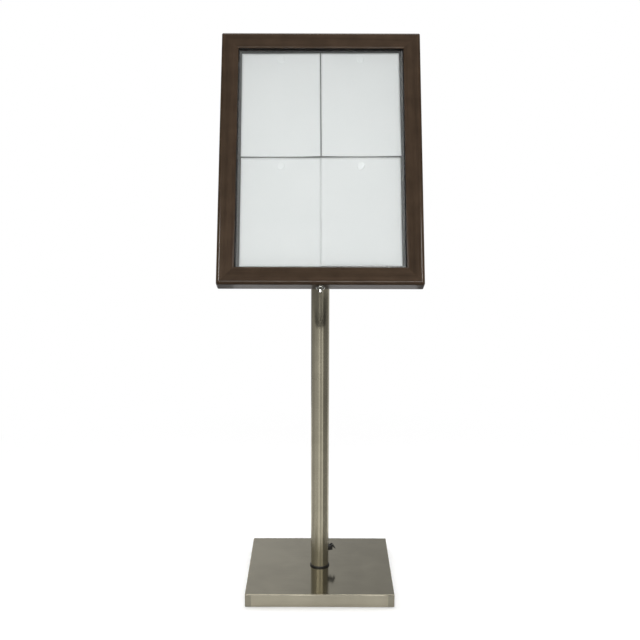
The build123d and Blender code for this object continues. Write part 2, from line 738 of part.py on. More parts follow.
def lock_nodes():
    """The cam lock, its cam behind the keeper, and the keeper on the pin board."""
    def at(z):
        return (0, lock_setback, z)

    bezel_face = -half_height - lock_bezel_height
    plug_face = bezel_face - lock_plug_proud
    barrel_top = cam_bottom - cam_barrel_gap
    rim_face = -half_height - lock_rim_height
    taper = Cone(lock_nose_radius, lock_bezel_radius, lock_bezel_height - lock_rim_height)
    bezel = rod(lock_bezel_radius, at(rim_face), at(-half_height))
    bezel += Pos(at((bezel_face + rim_face) / 2)) * taper
    bezel = fillet(bezel.edges().sort_by(Axis.Z)[0], lock_bezel_round)
    body = bezel + rod(lock_barrel_radius, at(-half_height), at(barrel_top))
    body -= rod(lock_plug_radius + running_clearance, at(bezel_face), at(barrel_top))
    nut = hexagon(lock_nut_flats, at(lock_inside), at(lock_nut_top))
    nut = nut.rotate(Axis(at(0), (0, 0, 1)), lock_nut_turn)
    nut -= rod(lock_barrel_radius, at(lock_inside), at(lock_nut_top))

    plug = rod(lock_plug_radius, at(plug_face), at(cam_bottom))
    plug = fillet(plug.edges().sort_by(Axis.Z)[0], lock_plug_round)
    plug -= span(
        -keyway_width / 2, keyway_width / 2,
        lock_setback - keyway_length / 2, lock_setback + keyway_length / 2,
        plug_face, plug_face + keyway_depth,
    )
    tip = at(cam_bottom - cam_screw_length)
    plug -= rod(cam_screw_radius, tip, at(cam_bottom))
    cam_half = cam_width / 2
    cam_end = lock_setback + cam_reach - cam_half
    cam = rod(cam_hub_radius, at(cam_bottom), at(cam_top))
    cam += span(-cam_half, cam_half, lock_setback, cam_end, cam_bottom, cam_top)
    cam += rod(cam_half, (0, cam_end, cam_bottom), (0, cam_end, cam_top))
    cam -= rod(cam_screw_radius, at(cam_bottom), at(cam_top))
    cam_screw = screw(cam_screw_radius, cam_head_radius, cam_head_height, tip, at(cam_top))

    keeper_top = keeper_bottom + keeper_height
    foot_end = keeper_riser + keeper_plate + keeper_foot
    foot_front = pin_front - keeper_plate
    keeper = span(
        keeper_lip_start, keeper_riser, keeper_front, keeper_front + keeper_plate, keeper_bottom, keeper_top,
    )
    keeper += span(
        keeper_riser, keeper_riser + keeper_plate, keeper_front, pin_front, keeper_bottom, keeper_top,
    )
    keeper += span(
        keeper_riser + keeper_plate, foot_end, foot_front, pin_front, keeper_bottom, keeper_top,
    )
    screws = []
    for x, z in keeper_screw_places():
        point = (x, pin_front + keeper_screw_depth, z)
        seat = (x, foot_front, z)
        keeper -= rod(keeper_screw_radius, point, seat)
        screws.append(screw(keeper_screw_radius, keeper_head_radius, keeper_head_height, point, seat))
    return {
        "lock_body": body,
        "lock_nut": nut,
        "lock_plug": plug,
        "lock_cam": cam,
        "cam_screw": cam_screw,
        "lock_keeper": keeper,
        "keeper_screws": group(screws),
    }


parts = {**stand_nodes(), **inlet_nodes()}
for head_nodes in (yoke_nodes, board_nodes, hinge_nodes, door_nodes, lock_nodes):
    for name, solid in head_nodes().items():
        parts[name] = case_place * solid

os.makedirs("parts", exist_ok=True)
for name, solid in parts.items():
    export_step(solid, f"parts/{name}.step")

hinge_point = (case_place * Pos(0, hinge_depth, hinge_rise)).position
lock_point = (case_place * Pos(0, lock_setback, -half_height)).position
flap_point = (inlet_place * Pos(flap_axis_out, 0, flap_axis_up)).position
print("nodes", len(parts))
print("pivot", pivot_height, "door hinge", hinge_point, "lock", lock_point, "flap", flap_point)
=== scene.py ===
# %% [markdown]
# # A menu display case on a pole
#
# A restaurant stands this by its door: a glazed wooden case with four menu sheets, leaning back
# on a steel pole, with a square steel base. The engineering model gives every piece its size and
# its place. This lesson dresses that model: it sets up a camera and light, writes one finish for
# each real material, and rebuilds the pieces whose looks need more than flat faces and plain edges.

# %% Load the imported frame
import math

import bmesh
import bpy
import numpy as np
from mathutils import Matrix


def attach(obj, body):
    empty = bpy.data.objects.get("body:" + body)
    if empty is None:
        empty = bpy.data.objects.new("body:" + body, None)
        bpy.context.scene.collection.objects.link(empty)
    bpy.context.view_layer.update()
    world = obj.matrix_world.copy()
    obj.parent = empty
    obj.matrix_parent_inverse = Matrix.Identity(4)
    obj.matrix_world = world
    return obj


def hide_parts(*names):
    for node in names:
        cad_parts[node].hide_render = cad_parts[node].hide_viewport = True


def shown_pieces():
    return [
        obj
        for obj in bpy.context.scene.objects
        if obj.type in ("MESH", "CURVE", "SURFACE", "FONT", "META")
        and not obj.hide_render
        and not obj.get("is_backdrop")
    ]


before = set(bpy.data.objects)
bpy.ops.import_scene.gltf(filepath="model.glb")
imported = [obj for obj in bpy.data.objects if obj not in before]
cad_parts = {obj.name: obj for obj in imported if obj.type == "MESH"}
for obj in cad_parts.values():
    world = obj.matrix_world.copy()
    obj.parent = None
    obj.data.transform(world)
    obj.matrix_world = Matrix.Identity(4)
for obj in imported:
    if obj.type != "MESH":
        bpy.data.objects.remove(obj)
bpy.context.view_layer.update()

# %% [markdown]
# ## Camera
#
# The camera was worked out from the picture: where the base, the pole and the frame's corners fall
# gives the distance, the height, the tilt and the lens. A long lens from almost three metres keeps
# the pole's sides nearly parallel, so the view is set by these numbers and not by eye.

# %% Camera
scene = bpy.context.scene
image_pixels, focal_pixels = 640, 1069.82
sensor_width = 36.0
camera_place = (-0.0008, -2.8740, 1.264226)
camera_dip, camera_roll = 10.2514, 0.14

camera_data = bpy.data.cameras.new("camera")
camera_data.sensor_width = sensor_width
camera_data.lens = focal_pixels / image_pixels * sensor_width
camera = bpy.data.objects.new("camera", camera_data)
camera.matrix_world = (
    Matrix.Translation(camera_place)
    @ Matrix.Rotation(math.radians(90 - camera_dip), 4, "X")
    @ Matrix.Rotation(math.radians(camera_roll), 4, "Z")
)
scene.collection.objects.link(camera)
scene.camera = camera
scene.view_settings.view_transform = "Standard"
print("lens", round(camera_data.lens, 2), "mm")

# %% [markdown]
# ## Helpers for materials
#
# Colours are written as sRGB hex, as a paint card or a screen shows them, while Blender computes in
# linear light, so one function turns one into the other. The second fills a node's sockets, each
# with a value or with the node that feeds it, and the third adds a node that way, which keeps every
# finish readable from top to bottom. The last starts a finish and sets what is the same all over it.

# %% Colour and node helpers
MM = 0.001


def linear(hex_colour):
    """sRGB hex to linear RGBA: x/12.92 near black and ((x + 0.055)/1.055)^2.4 above it."""
    text = hex_colour.lstrip("#")
    srgb = np.array([int(text[i:i + 2], 16) for i in (0, 2, 4)]) / 255
    rgb = np.where(srgb <= 0.04045, srgb / 12.92, ((srgb + 0.055) / 1.055) ** 2.4)
    return (*rgb.tolist(), 1.0)


def fill(node, sockets):
    """Each socket gets a value, or a link from an output; a node given by itself means its first."""
    for key, value in sockets.items():
        if isinstance(value, bpy.types.Node):
            value = value.outputs[0]
        if isinstance(value, bpy.types.NodeSocket):
            node.id_data.links.new(value, node.inputs[key])
        else:
            node.inputs[key].default_value = value


def add(tree, kind, sockets=None, **settings):
    """Adds a node with its settings and fills its sockets."""
    made = tree.nodes.new("ShaderNode" + kind)
    for name, value in settings.items():
        setattr(made, name, value)
    fill(made, sockets or {})
    return made


def new_finish(name, colour, **sockets):
    """A material with one Principled shader; sockets use underscores for spaces."""
    material = bpy.data.materials.new(name)
    material.use_nodes = True
    shader = material.node_tree.nodes["Principled BSDF"]
    fill(shader, {"Base Color": linear(colour)})
    fill(shader, {key.replace("_", " "): value for key, value in sockets.items()})
    return material, material.node_tree, shader


print("mid grey in linear light", round(linear("#808080")[0], 3))

# %% [markdown]
# ## Studio
#
# The picture is a shop photograph on white. The camera, and whatever looks through the glass, sees
# plain white, so the world is white for those rays. Metal shows its surroundings more than its own
# colour, and the real pole and base show a studio: a pale sweep behind the stand, a little lighter
# at the left, a dim room behind the camera and a patch of ceiling. So reflections, and the light
# that fills the shadows, meet that room instead. Each row of the table is one of its gradients.

# %% World
world = bpy.data.worlds.new("studio")
scene.world = world
world.use_nodes = True
sky = world.node_tree
sky.nodes.clear()
way = add(sky, "TexCoord").outputs["Generated"]
axes = add(sky, "SeparateXYZ", {0: way}).outputs
gradients = {  # the axis, where the gradient starts and ends on it, and the light at each end
    "backward": ("Y", 0.05, 0.75, 0.10, 0.95),
    "upward": ("Z", 0.10, 0.55, 0.72, 0.55),
    "sweep": ("X", -0.06, 0.06, 1.19, 0.85),
    "low_back": ("X", -0.10, 0.05, 0.28, 0.95),
    "rightward": ("X", 0.35, 0.90, 1.0, 0.62),
    "below": ("Z", -0.12, 0.02, 1.0, 0.0),
    "ceiling": ("Z", 0.66, 0.82, 0.0, 0.28),
}
tones = {}
for name, (axis, *span) in gradients.items():
    sockets = dict(enumerate((axes[axis], *span)))
    tones[name] = add(sky, "MapRange", sockets, interpolation_type="SMOOTHSTEP")
print("gradients", list(tones))

# %% World, put together
room = add(sky, "Math", {0: tones["backward"], 1: tones["upward"]}, operation="MULTIPLY")
room = add(sky, "Math", {0: room, 1: tones["sweep"]}, operation="MULTIPLY")
low = add(sky, "Math", {0: tones["low_back"], 1: tones["rightward"]}, operation="MULTIPLY")
whole_room = add(sky, "Mix", {0: tones["below"], 2: room, 3: low}, data_type="FLOAT")
whole_room = add(sky, "Math", {0: whole_room, 1: tones["ceiling"]}, operation="ADD")
path = add(sky, "LightPath").outputs
seen = add(
    sky, "Math", {0: path["Is Camera Ray"], 1: path["Is Transmission Ray"]}, operation="MAXIMUM",
)
level = add(sky, "Mix", {0: seen, 2: whole_room, 3: 1.0}, data_type="FLOAT")
backdrop = add(sky, "Background", {"Color": linear("#FFFFFF"), "Strength": level})
add(sky, "OutputWorld", {"Surface": backdrop})
print("world nodes", len(sky.nodes))

# %% [markdown]
# ## From grids to meshes
#
# Every new surface starts as a grid of points that is worked out as one array. The first helper
# numbers the faces between neighbouring points, the second joins grids and end caps into a mesh,
# and the third welds points that fall together, which is the simplest way to close a seam or a pole.

# %% Mesh helpers
def grid_quads(rows, columns, wrap):
    """Faces of a grid of points: (i, j), (i, j+1), (i+1, j+1), (i+1, j).
    With wrap, the last column is joined to the first."""
    across = np.arange(columns if wrap else columns - 1)
    i, j = np.meshgrid(np.arange(rows - 1) * columns, across, indexing="ij")
    k = (j + 1) % columns
    return np.stack([i + j, i + k, i + columns + k, i + columns + j], -1).reshape(-1, 4)


def build_mesh(name, grids, caps=()):
    """One mesh from grids of points, each (points, wrap), and from loops of points that close an end."""
    points, faces, base = [], [], 0
    for grid, wrap in grids:
        rows, columns = grid.shape[:2]
        points.append(grid.reshape(-1, 3))
        faces += (grid_quads(rows, columns, wrap) + base).tolist()
        base += rows * columns
    for loop in caps:
        points.append(loop)
        faces.append(list(range(base, base + len(loop))))
        base += len(loop)
    mesh = bpy.data.meshes.new(name)
    mesh.from_pydata(np.concatenate(points).tolist(), [], faces)
    mesh.update()
    return mesh


def weld(mesh, distance=1e-6):
    """Merges points that fall together and turns every face outwards."""
    work = bmesh.new()
    work.from_mesh(mesh)
    bmesh.ops.remove_doubles(work, verts=work.verts, dist=distance)
    bmesh.ops.dissolve_degenerate(work, edges=work.edges, dist=distance)
    bmesh.ops.recalc_face_normals(work, faces=work.faces)
    work.to_mesh(mesh)
    work.free()
    return mesh


print("faces of a 3 by 4 grid", len(grid_quads(3, 4, False)))

# %% [markdown]
# ## Floor
#
# The floor is a round sheet. Near the stand it is lit like white card, so it catches the shadow;
# towards its rim it turns into plain white light, so that it melts into the world. What it throws
# up at the stand is dimmer than what is seen of it, which keeps the frame's underside dark.

# %% Floor sheet
floor_radius, floor_spokes = 1.9, 96
spokes = np.linspace(0, 2 * np.pi, floor_spokes, endpoint=False)
hoops = np.array([0.0, 0.25, 0.5, 0.9, 1.4, floor_radius])[:, None]
floor_points = np.stack([hoops * np.cos(spokes), hoops * np.sin(spokes), 0 * hoops * spokes], -1)
floor_mesh = weld(build_mesh("floor", [(floor_points, True)]))
floor = bpy.data.objects.new("floor", floor_mesh)
scene.collection.objects.link(floor)
floor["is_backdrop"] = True
print("floor faces", len(floor_mesh.polygons))

# %% Floor card
# White card: the eye gets a matt white ground with one soft shadow and no edge.
floor_clear, card_lift, card_bounce = 0.45, 0.28, "#505050"
card, tree, shader = new_finish("white_card", "#EDEDED", Roughness=0.9)
spot = add(tree, "TexCoord").outputs["Object"]
distance = add(tree, "VectorMath", {0: spot}, operation="LENGTH").outputs["Value"]
fade = add(
    tree, "MapRange", {0: distance, 1: floor_clear, 2: floor_radius}, interpolation_type="SMOOTHSTEP",
)
path = add(tree, "LightPath").outputs
shown = add(tree, "Math", {0: path["Is Camera Ray"], 1: path["Is Glossy Ray"]}, operation="MAXIMUM")
shown = add(tree, "Math", {0: shown, 1: path["Is Transmission Ray"]}, operation="MAXIMUM")
lift = add(tree, "Emission", {"Color": linear("#FFFFFF"), "Strength": card_lift})
lit = add(tree, "AddShader", {0: shader, 1: lift})
white = add(tree, "Emission", {"Color": linear("#FFFFFF"), "Strength": 1.0})
bright = add(tree, "MixShader", {0: fade, 1: lit, 2: white})
bounce = add(tree, "BsdfDiffuse", {"Color": linear(card_bounce)})
whole = add(tree, "MixShader", {0: shown, 1: bounce, 2: bright})
fill(tree.nodes["Material Output"], {"Surface": whole})
floor_mesh.materials.append(card)
print("card nodes", len(tree.nodes))

# %% [markdown]
# ## Lamps
#
# Soft boxes are area lamps. Each is given by its bearing and height as seen from the case, because
# that decides where its reflection runs. Paper wants broad, even light and lacquer wants a narrow
# gleam, so the work is shared: the front bank and the two side boxes only light, the front strip,
# the key and the fill only gleam, and the overhead box does both.

# %% Soft boxes
aim = np.array([0.0, 0.0, 0.95])


def soft_box(name, bearing, height, distance, width, tall, watts, lights=True, gleams=True):
    """An area lamp turned to the stand, at a bearing from the front, clockwise seen from above,
    and an angle up: aim + distance (sin b cos h, -cos b cos h, sin h)."""
    turn, rise = math.radians(bearing), math.radians(height)
    flat = math.cos(rise)
    out = np.array([math.sin(turn) * flat, -math.cos(turn) * flat, math.sin(rise)])
    lamp = bpy.data.lights.new(name, "AREA")
    lamp.shape, lamp.size, lamp.size_y, lamp.energy = "RECTANGLE", width, tall, watts
    holder = bpy.data.objects.new(name, lamp)
    side = np.cross((0, 0, 1), out)
    side /= np.linalg.norm(side)
    turned = np.eye(4)
    turned[:3] = np.stack([side, np.cross(out, side), out, aim + out * distance], 1)
    holder.matrix_world = Matrix(turned.tolist())
    holder.visible_camera = False
    holder.visible_diffuse = lights
    holder.visible_glossy = gleams
    scene.collection.objects.link(holder)
    return holder


lamps = [  # bearing, height, distance, width, tall, watts
    soft_box("front_bank", 0, 16, 3.4, 2.0, 1.0, 89, gleams=False),
    soft_box("front_strip", 0, 16, 3.0, 2.2, 0.4, 38, lights=False),
    soft_box("key_left", -29, 29, 3.1, 0.6, 1.0, 50, lights=False),
    soft_box("fill_right", 29, 29, 3.1, 0.6, 1.0, 40, lights=False),
    soft_box("overhead", 180, 72, 2.8, 1.8, 1.2, 30),
    soft_box("side_left", -112, 18, 3.2, 1.2, 1.4, 26, gleams=False),
    soft_box("side_right", 112, 18, 3.2, 1.2, 1.4, 26, gleams=False),
]
print("lamps", [lamp.name for lamp in lamps])

# %% [markdown]
# ## Screens and flags
#
# A polished pole shows whatever stands round it, so a photographer sets screens beside it. A curved
# screen of six panels stands in front of the pole, lower than the case; its two palest panels draw
# two light bands on the steel, and all of it dims towards its top. Three dark flags, one at each
# side of the case and one below it, keep the frame's outer edges and lower round dark. Only
# reflections meet them: the camera and the lamps' light pass through.

# %% Screen and flag shapes
screen_radius, screen_top, screen_rows, screen_columns = 0.30, 0.78, 18, 25
base_reach, base_level, sight_slope = 0.2, 0.037, 0.364
flag_spread, flag_depths, flag_heights = 0.75, (-0.2, 1.2), (0.8, 2.2)
under_width, under_depths, under_height = 0.32, (-0.62, -0.06), 0.72


def curved_panel(start, end):
    """Bearing b and share s: (R sin b, -R cos b, foot + s (top - foot)). The foot lies on the sight
    line from the pole over the base's edge, so that the base's own front still sees the floor."""
    bearings = np.radians(np.linspace(start, end, screen_columns))
    b, s = np.meshgrid(bearings, np.linspace(0, 1, screen_rows))
    base_edge = base_reach / np.maximum(np.abs(np.cos(b)), np.abs(np.sin(b)))
    foot = np.maximum(base_level - sight_slope * (screen_radius - base_edge), 0)
    up = foot + s * (screen_top - foot)
    return np.stack([screen_radius * np.sin(b), -screen_radius * np.cos(b), up], -1)


def side_flag(side):
    """A flat panel beside the case, along the depth y and the height z, at x = side times the spread."""
    y, z = np.meshgrid(np.linspace(*flag_depths, 3), np.linspace(*flag_heights, 3))
    return np.stack([np.full_like(y, side * flag_spread), y, z], -1)


def under_flag():
    """A flat panel below the case's bottom rail, along x and y at one height."""
    x, y = np.meshgrid(np.linspace(-under_width, under_width, 3), np.linspace(*under_depths, 3))
    return np.stack([x, y, np.full_like(x, under_height)], -1)


flags = [side_flag(-1), side_flag(1), under_flag()]
print("flags", len(flags))

# %% Screen and flag tones
screen_panels = [  # bearing of the start and the end, and tone
    (-119, -72, 0.44), (-72, -15, 0.56), (-15, -3, 0.98),
    (-3, 23, 0.50), (23, 37, 0.90), (37, 108, 0.28),
]
screen_heights = [0.10, 0.25, 0.40, 0.68, 0.78]
screen_shares = [1.45, 1.38, 1.12, 1.05, 0.62]
flag_tones = [0.10, 0.10, 0.05]
panels = [curved_panel(start, end) for start, end, _ in screen_panels]
shares = [np.interp(panel[..., 2], screen_heights, screen_shares) for panel in panels]
levels = [share * row[2] for share, row in zip(shares, screen_panels)]
levels += [np.full(grid.shape[:2], tone) for grid, tone in zip(flags, flag_tones)]
screen_mesh = build_mesh("screens", [(grid, False) for grid in panels + flags])
tone = np.concatenate([grid.ravel() for grid in levels]).astype(np.float32)
screen_mesh.attributes.new("tone", "FLOAT", "POINT").data.foreach_set("value", tone)
print("screen faces", len(screen_mesh.polygons))

# %% Screen cloth
# Screen cloth: the eye never gets it itself, only its even grey or white in the steel.
cloth, tree, shader = new_finish("screen_cloth", "#808080")
level = add(tree, "Attribute", attribute_name="tone").outputs["Fac"]
glow = add(tree, "Emission", {"Color": linear("#FFFFFF"), "Strength": level})
fill(tree.nodes["Material Output"], {"Surface": glow})
screen_mesh.materials.append(cloth)
screens = bpy.data.objects.new("screens", screen_mesh)
scene.collection.objects.link(screens)
screens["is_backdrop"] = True
screens.visible_camera = screens.visible_diffuse = False
screens.visible_transmission = screens.visible_shadow = False
print("screens show in reflections only")

# %% [markdown]
# ## Finishes
#
# The frame is stained beech under satin lacquer. Wood's figure runs along each rail and carries over
# its edges, so the pattern reads a point attribute called grain: metres along the rail, across it
# and into it, as if each rail were sawn from its own board. An even brown would look like plastic.
# The pores of beech are a few hundredths of a millimetre wide, too fine to show, so they are drawn
# about a millimetre wide.

# %% Stained beech
# The eye gets a dark brown with soft straight figure, small dark flecks, and a narrow satin gleam
# along every round.
figure_width, pore_width, cloud_width = 14 * MM, 1.1 * MM, 55 * MM
figure_runs, pore_runs = 2.2, 28.0  # to the metre, along the rail
wood, tree, shader = new_finish(
    "stained_beech", "#3A2E23", Roughness=0.42, IOR=1.45, Specular_IOR_Level=0.03,
    Coat_Weight=0.38, Coat_Roughness=0.10,
)
grain = add(tree, "Attribute", attribute_name="grain").outputs["Vector"]
figure_scale = (figure_runs, 1 / figure_width, 1 / figure_width)
figure_at = add(tree, "Mapping", {"Vector": grain, "Scale": figure_scale})
figure = add(tree, "TexNoise", {"Vector": figure_at, "Scale": 1.0, "Detail": 4.0, "Distortion": 0.35})
cloud = add(tree, "TexNoise", {"Vector": grain, "Scale": 1 / cloud_width, "Detail": 2.0})
pore_scale = (pore_runs, 1 / pore_width, 1 / pore_width)
pore_at = add(tree, "Mapping", {"Vector": grain, "Scale": pore_scale})
pores = add(tree, "TexNoise", {"Vector": pore_at, "Scale": 1.0, "Detail": 2.0})
dark, pale = linear("#30251B"), linear("#524234")
figured = add(tree, "Mix", {0: figure, 6: dark, 7: pale}, data_type="RGBA").outputs[2]
clouding = add(tree, "MapRange", {0: cloud, 1: 0.3, 2: 0.7, 3: 0.82, 4: 1.14})
clouded = add(tree, "VectorMath", {0: figured, "Scale": clouding}, operation="SCALE")
pitting = add(tree, "MapRange", {0: pores, 1: 0.30, 2: 0.44, 3: 0.74, 4: 1.0})
stained = add(tree, "VectorMath", {0: clouded, "Scale": pitting}, operation="SCALE")
satin = add(tree, "MapRange", {0: figure, 3: 0.30, 4: 0.42})
relief = add(tree, "Bump", {"Height": pores, "Strength": 0.05, "Distance": 0.15 * MM})
fill(shader, {"Base Color": stained, "Roughness": satin, "Normal": relief})
print("wood nodes", len(tree.nodes))

# %% [markdown]
# The base cover and the pole are stainless steel, brushed. Brushing leaves fine parallel lines that
# blur a reflection across them and keep it sharp along them. The lines come from noise stretched
# along the brushing, on the piece's own map in metres, and the broad smears of handling from a
# second, slow noise. Real brush lines are a tenth of a millimetre apart; these are drawn at nearly
# one, so that they show. An attribute draws the dressed corner strips darker and the fold paler, as
# a painted highlight.

# %% Brushed stainless steel
line_width, smear_width, fold_highlight_blur = 0.9 * MM, 90 * MM, 0.5


def brushed_steel(name, colour, line_length, smooth, rough, relief, **sockets):
    """Stainless steel with brush lines along the map's first axis, from smooth to rough."""
    material, tree, shader = new_finish(name, colour, Metallic=1.0, **sockets)
    flat = add(tree, "UVMap", uv_map="brush")
    line_scale = (1 / line_length, 1 / line_width, 1.0)
    line_at = add(tree, "Mapping", {"Vector": flat, "Scale": line_scale})
    lines = add(tree, "TexNoise", {"Vector": line_at, "Scale": 1.0, "Detail": 3.0})
    smear = add(
        tree, "TexNoise", {"Vector": flat, "Scale": 1 / smear_width, "Detail": 3.0, "Distortion": 0.6},
    )
    both = add(tree, "Math", {0: lines, 1: smear}, operation="ADD")
    gloss = add(tree, "MapRange", {0: both, 1: 0.7, 2: 1.3, 3: smooth, 4: rough})
    shade = add(tree, "MapRange", {0: both, 1: 0.7, 2: 1.3, 3: 0.88, 4: 1.09})
    # A painted highlight pales and roughens the cover's fold; its dressed corner strips come out darker.
    fold_highlight_and_corner_tone = add(tree, "Attribute", attribute_name="fold_highlight_and_corner_tone").outputs["Fac"]
    shade = add(tree, "Math", {0: shade, 1: fold_highlight_and_corner_tone}, operation="ADD")
    fold_highlight_mask = add(tree, "Math", {0: fold_highlight_and_corner_tone, 1: 0.0}, operation="MAXIMUM")
    gloss = add(tree, "Math", {0: fold_highlight_mask, 1: fold_highlight_blur, 2: gloss}, operation="MULTIPLY_ADD")
    tone = add(tree, "VectorMath", {0: linear(colour)[:3], "Scale": shade}, operation="SCALE")
    scratch = add(tree, "Bump", {"Height": lines, "Strength": relief, "Distance": 0.02 * MM})
    along = add(tree, "Tangent", direction_type="UV_MAP", uv_map="brush")
    fill(shader, {"Base Color": tone, "Roughness": gloss, "Normal": scratch, "Tangent": along})
    return material


# Sheet: a calm warm-grey mirror, blurred across the lines, in which the pole still shows.
cover_steel = brushed_steel(
    "brushed_steel_sheet", "#969181", 140 * MM, 0.10, 0.16, 0.01,
    Anisotropic=0.3, Anisotropic_Rotation=0.25,
)
# Tube, brushed round: lamps and screens draw out into light and dark bands down its length.
pole_steel = brushed_steel(
    "brushed_steel_tube", "#A39D8A", 60 * MM, 0.20, 0.23, 0.01,
    Anisotropic=0.75, Anisotropic_Rotation=0.25,
)
print("steels", cover_steel.name, pole_steel.name)

# %% [markdown]
# Printing paper is matt and a little cloudy where the fibres lie thicker. The glazing is clear float
# glass with the faint green of its iron. Light that comes to the sheets passes it as if it were
# open, because a lamp seen through flat glass stays where it is, and that keeps the render quiet.

# %% Paper
# The eye gets an even, cool white without gleam, with a slow drift of a level or two.
fibre_size, drift_size = 3 * MM, 70 * MM
paper, tree, shader = new_finish(
    "printing_paper", "#E2E6E5", Roughness=0.75, IOR=1.5, Specular_IOR_Level=0.3,
)
spot = add(tree, "TexCoord").outputs["Object"]
fibre = add(tree, "TexNoise", {"Vector": spot, "Scale": 1 / fibre_size, "Detail": 3.0})
drift = add(tree, "TexNoise", {"Vector": spot, "Scale": 1 / drift_size, "Detail": 1.0})
thin, thick = linear("#E2E4E3"), linear("#E7E8E7")
mottle = add(tree, "Mix", {0: drift, 6: thin, 7: thick}, data_type="RGBA")
tooth = add(tree, "Bump", {"Height": fibre, "Strength": 0.08, "Distance": 0.05 * MM})
fill(shader, {"Base Color": mottle.outputs[2], "Normal": tooth})
print("paper nodes", len(tree.nodes))

# %% Glass
# The eye gets a clear pane that is only noticed where it gleams.
glass, tree, shader = new_finish(
    "float_glass", "#FDFEFE", Roughness=0.0, IOR=1.5, Transmission_Weight=1.0,
)
path = add(tree, "LightPath").outputs
passing = add(
    tree, "Math", {0: path["Is Shadow Ray"], 1: path["Is Diffuse Ray"]}, operation="MAXIMUM",
)
open_air = add(tree, "BsdfTransparent", {"Color": linear("#FCFDFD")})
pane = add(tree, "MixShader", {0: passing, 1: shader, 2: open_air})
fill(tree.nodes["Material Output"], {"Surface": pane})
print("glass nodes", len(tree.nodes))

# %% [markdown]
# The rest of the stand is made from everyday stock: rubber, moulded plastics, painted, plated and
# cast metal, and plain board. Each gets the grain that its making leaves, such as spark texture on
# moulded plastic, orange peel on powder coat or spangle on zinc. One noise at that grain's size
# drives the colour, the roughness and the relief, because on the real thing they go together.

# %% Everyday stock
def stock(name, colour, other, grain_size, rough, relief, **sockets):
    """A finish that varies between two colours and two roughnesses on one noise, which is also its
    relief."""
    material, tree, shader = new_finish(name, colour, **sockets)
    spot = add(tree, "TexCoord").outputs["Object"]
    noise = add(tree, "TexNoise", {"Vector": spot, "Scale": 1 / grain_size, "Detail": 4.0})
    drift = add(tree, "MapRange", {0: noise, 1: 0.35, 2: 0.65})
    tint = add(tree, "Mix", {0: drift, 6: linear(colour), 7: linear(other)}, data_type="RGBA")
    gloss = add(tree, "MapRange", {0: noise, 1: 0.3, 2: 0.7, 3: rough[0], 4: rough[1]})
    bumps = add(tree, "Bump", {"Height": noise, "Strength": 0.35, "Distance": relief})
    fill(shader, {"Base Color": tint.outputs[2], "Roughness": gloss, "Normal": bumps})
    return material


# Rubber: dull black, with a dusty bloom instead of a gleam.
black_rubber = stock(
    "black_rubber", "#0F0E0C", "#191715", 2.5 * MM, (0.55, 0.75), 0.10 * MM, IOR=1.52,
)
# Moulded plastic: deep black with a soft gleam that the spark texture breaks up.
black_plastic = stock(
    "black_moulded_plastic", "#0D0C0A", "#161412", 1.2 * MM, (0.35, 0.5), 0.05 * MM, IOR=1.46,
)
# Moulded plastic: a white a shade lighter than the paper, and a little smoother.
white_plastic = stock(
    "white_moulded_plastic", "#E9EBEA", "#E6E8E7", 1.5 * MM, (0.3, 0.4), 0.02 * MM, IOR=1.46,
)
# Nylon: milky and waxy, because light goes a little way in.
nylon = stock(
    "nylon", "#DCD8CB", "#D2CDBE", 5 * MM, (0.4, 0.5), 0.02 * MM,
    IOR=1.53, Subsurface_Weight=0.1, Subsurface_Radius=(0.002, 0.002, 0.002),
)
# Unlit diffuser: smoke grey and frosted, without a clear reflection.
frosted = stock(
    "frosted_diffuser", "#6E706E", "#646664", 1.0 * MM, (0.5, 0.65), 0.03 * MM, IOR=1.49,
)
print("rubber and plastics", len(bpy.data.materials))

# %% Metals and paints
# Powder coat: charcoal with orange peel and a broad, soft gleam.
powder_coat = stock(
    "black_powder_coat", "#1D1C1B", "#272625", 1.8 * MM, (0.38, 0.52), 0.08 * MM, IOR=1.5,
)
# Zinc plate: pale grey metal whose spangle makes the gleam uneven.
zinc = stock("zinc_plate", "#B9B8B2", "#A4A39C", 3.5 * MM, (0.25, 0.42), 0.03 * MM, Metallic=1.0)
# Chrome plate: a nearly clear mirror.
chrome = stock("chrome_plate", "#B4B3AC", "#A9A8A1", 6 * MM, (0.08, 0.14), 0.005 * MM, Metallic=1.0)
# Anodised aluminium: an even satin grey, with no clear reflection.
aluminium = stock(
    "anodised_aluminium", "#8A8B8A", "#808180", 1.5 * MM, (0.55, 0.65), 0.02 * MM, Metallic=1.0,
)
# Paint on steel sheet: a flat mid grey that sets off the sheets.
grey_paint = stock(
    "grey_painted_steel", "#40413E", "#484945", 2.0 * MM, (0.42, 0.55), 0.04 * MM, IOR=1.5,
)
# Cast weight: dark, rough and pitted, as it left the sand.
cast_iron = stock("cast_weight", "#4A4743", "#37352F", 4 * MM, (0.7, 0.9), 0.4 * MM, Metallic=0.3)
# Frame's inner lip: a near black that swallows light and outlines the opening.
lip_black = stock(
    "near_black_lip", "#0B0A09", "#12100E", 2.0 * MM, (0.7, 0.85), 0.02 * MM,
    IOR=1.45, Specular_IOR_Level=0.2,
)
print("finishes", len(bpy.data.materials))

# %% [markdown]
# ## Tools for shapes
#
# Three short functions make nearly every new piece. The first rounds the corners of a profile, the
# second turns a profile about an axis as a lathe does, and the third carries it round a square as a
# folding press does. They work on whole arrays in millimetres, and the piece is scaled to metres
# when its mesh is made.

# %% Profiles, turning and carrying
flat_guard = 1.15


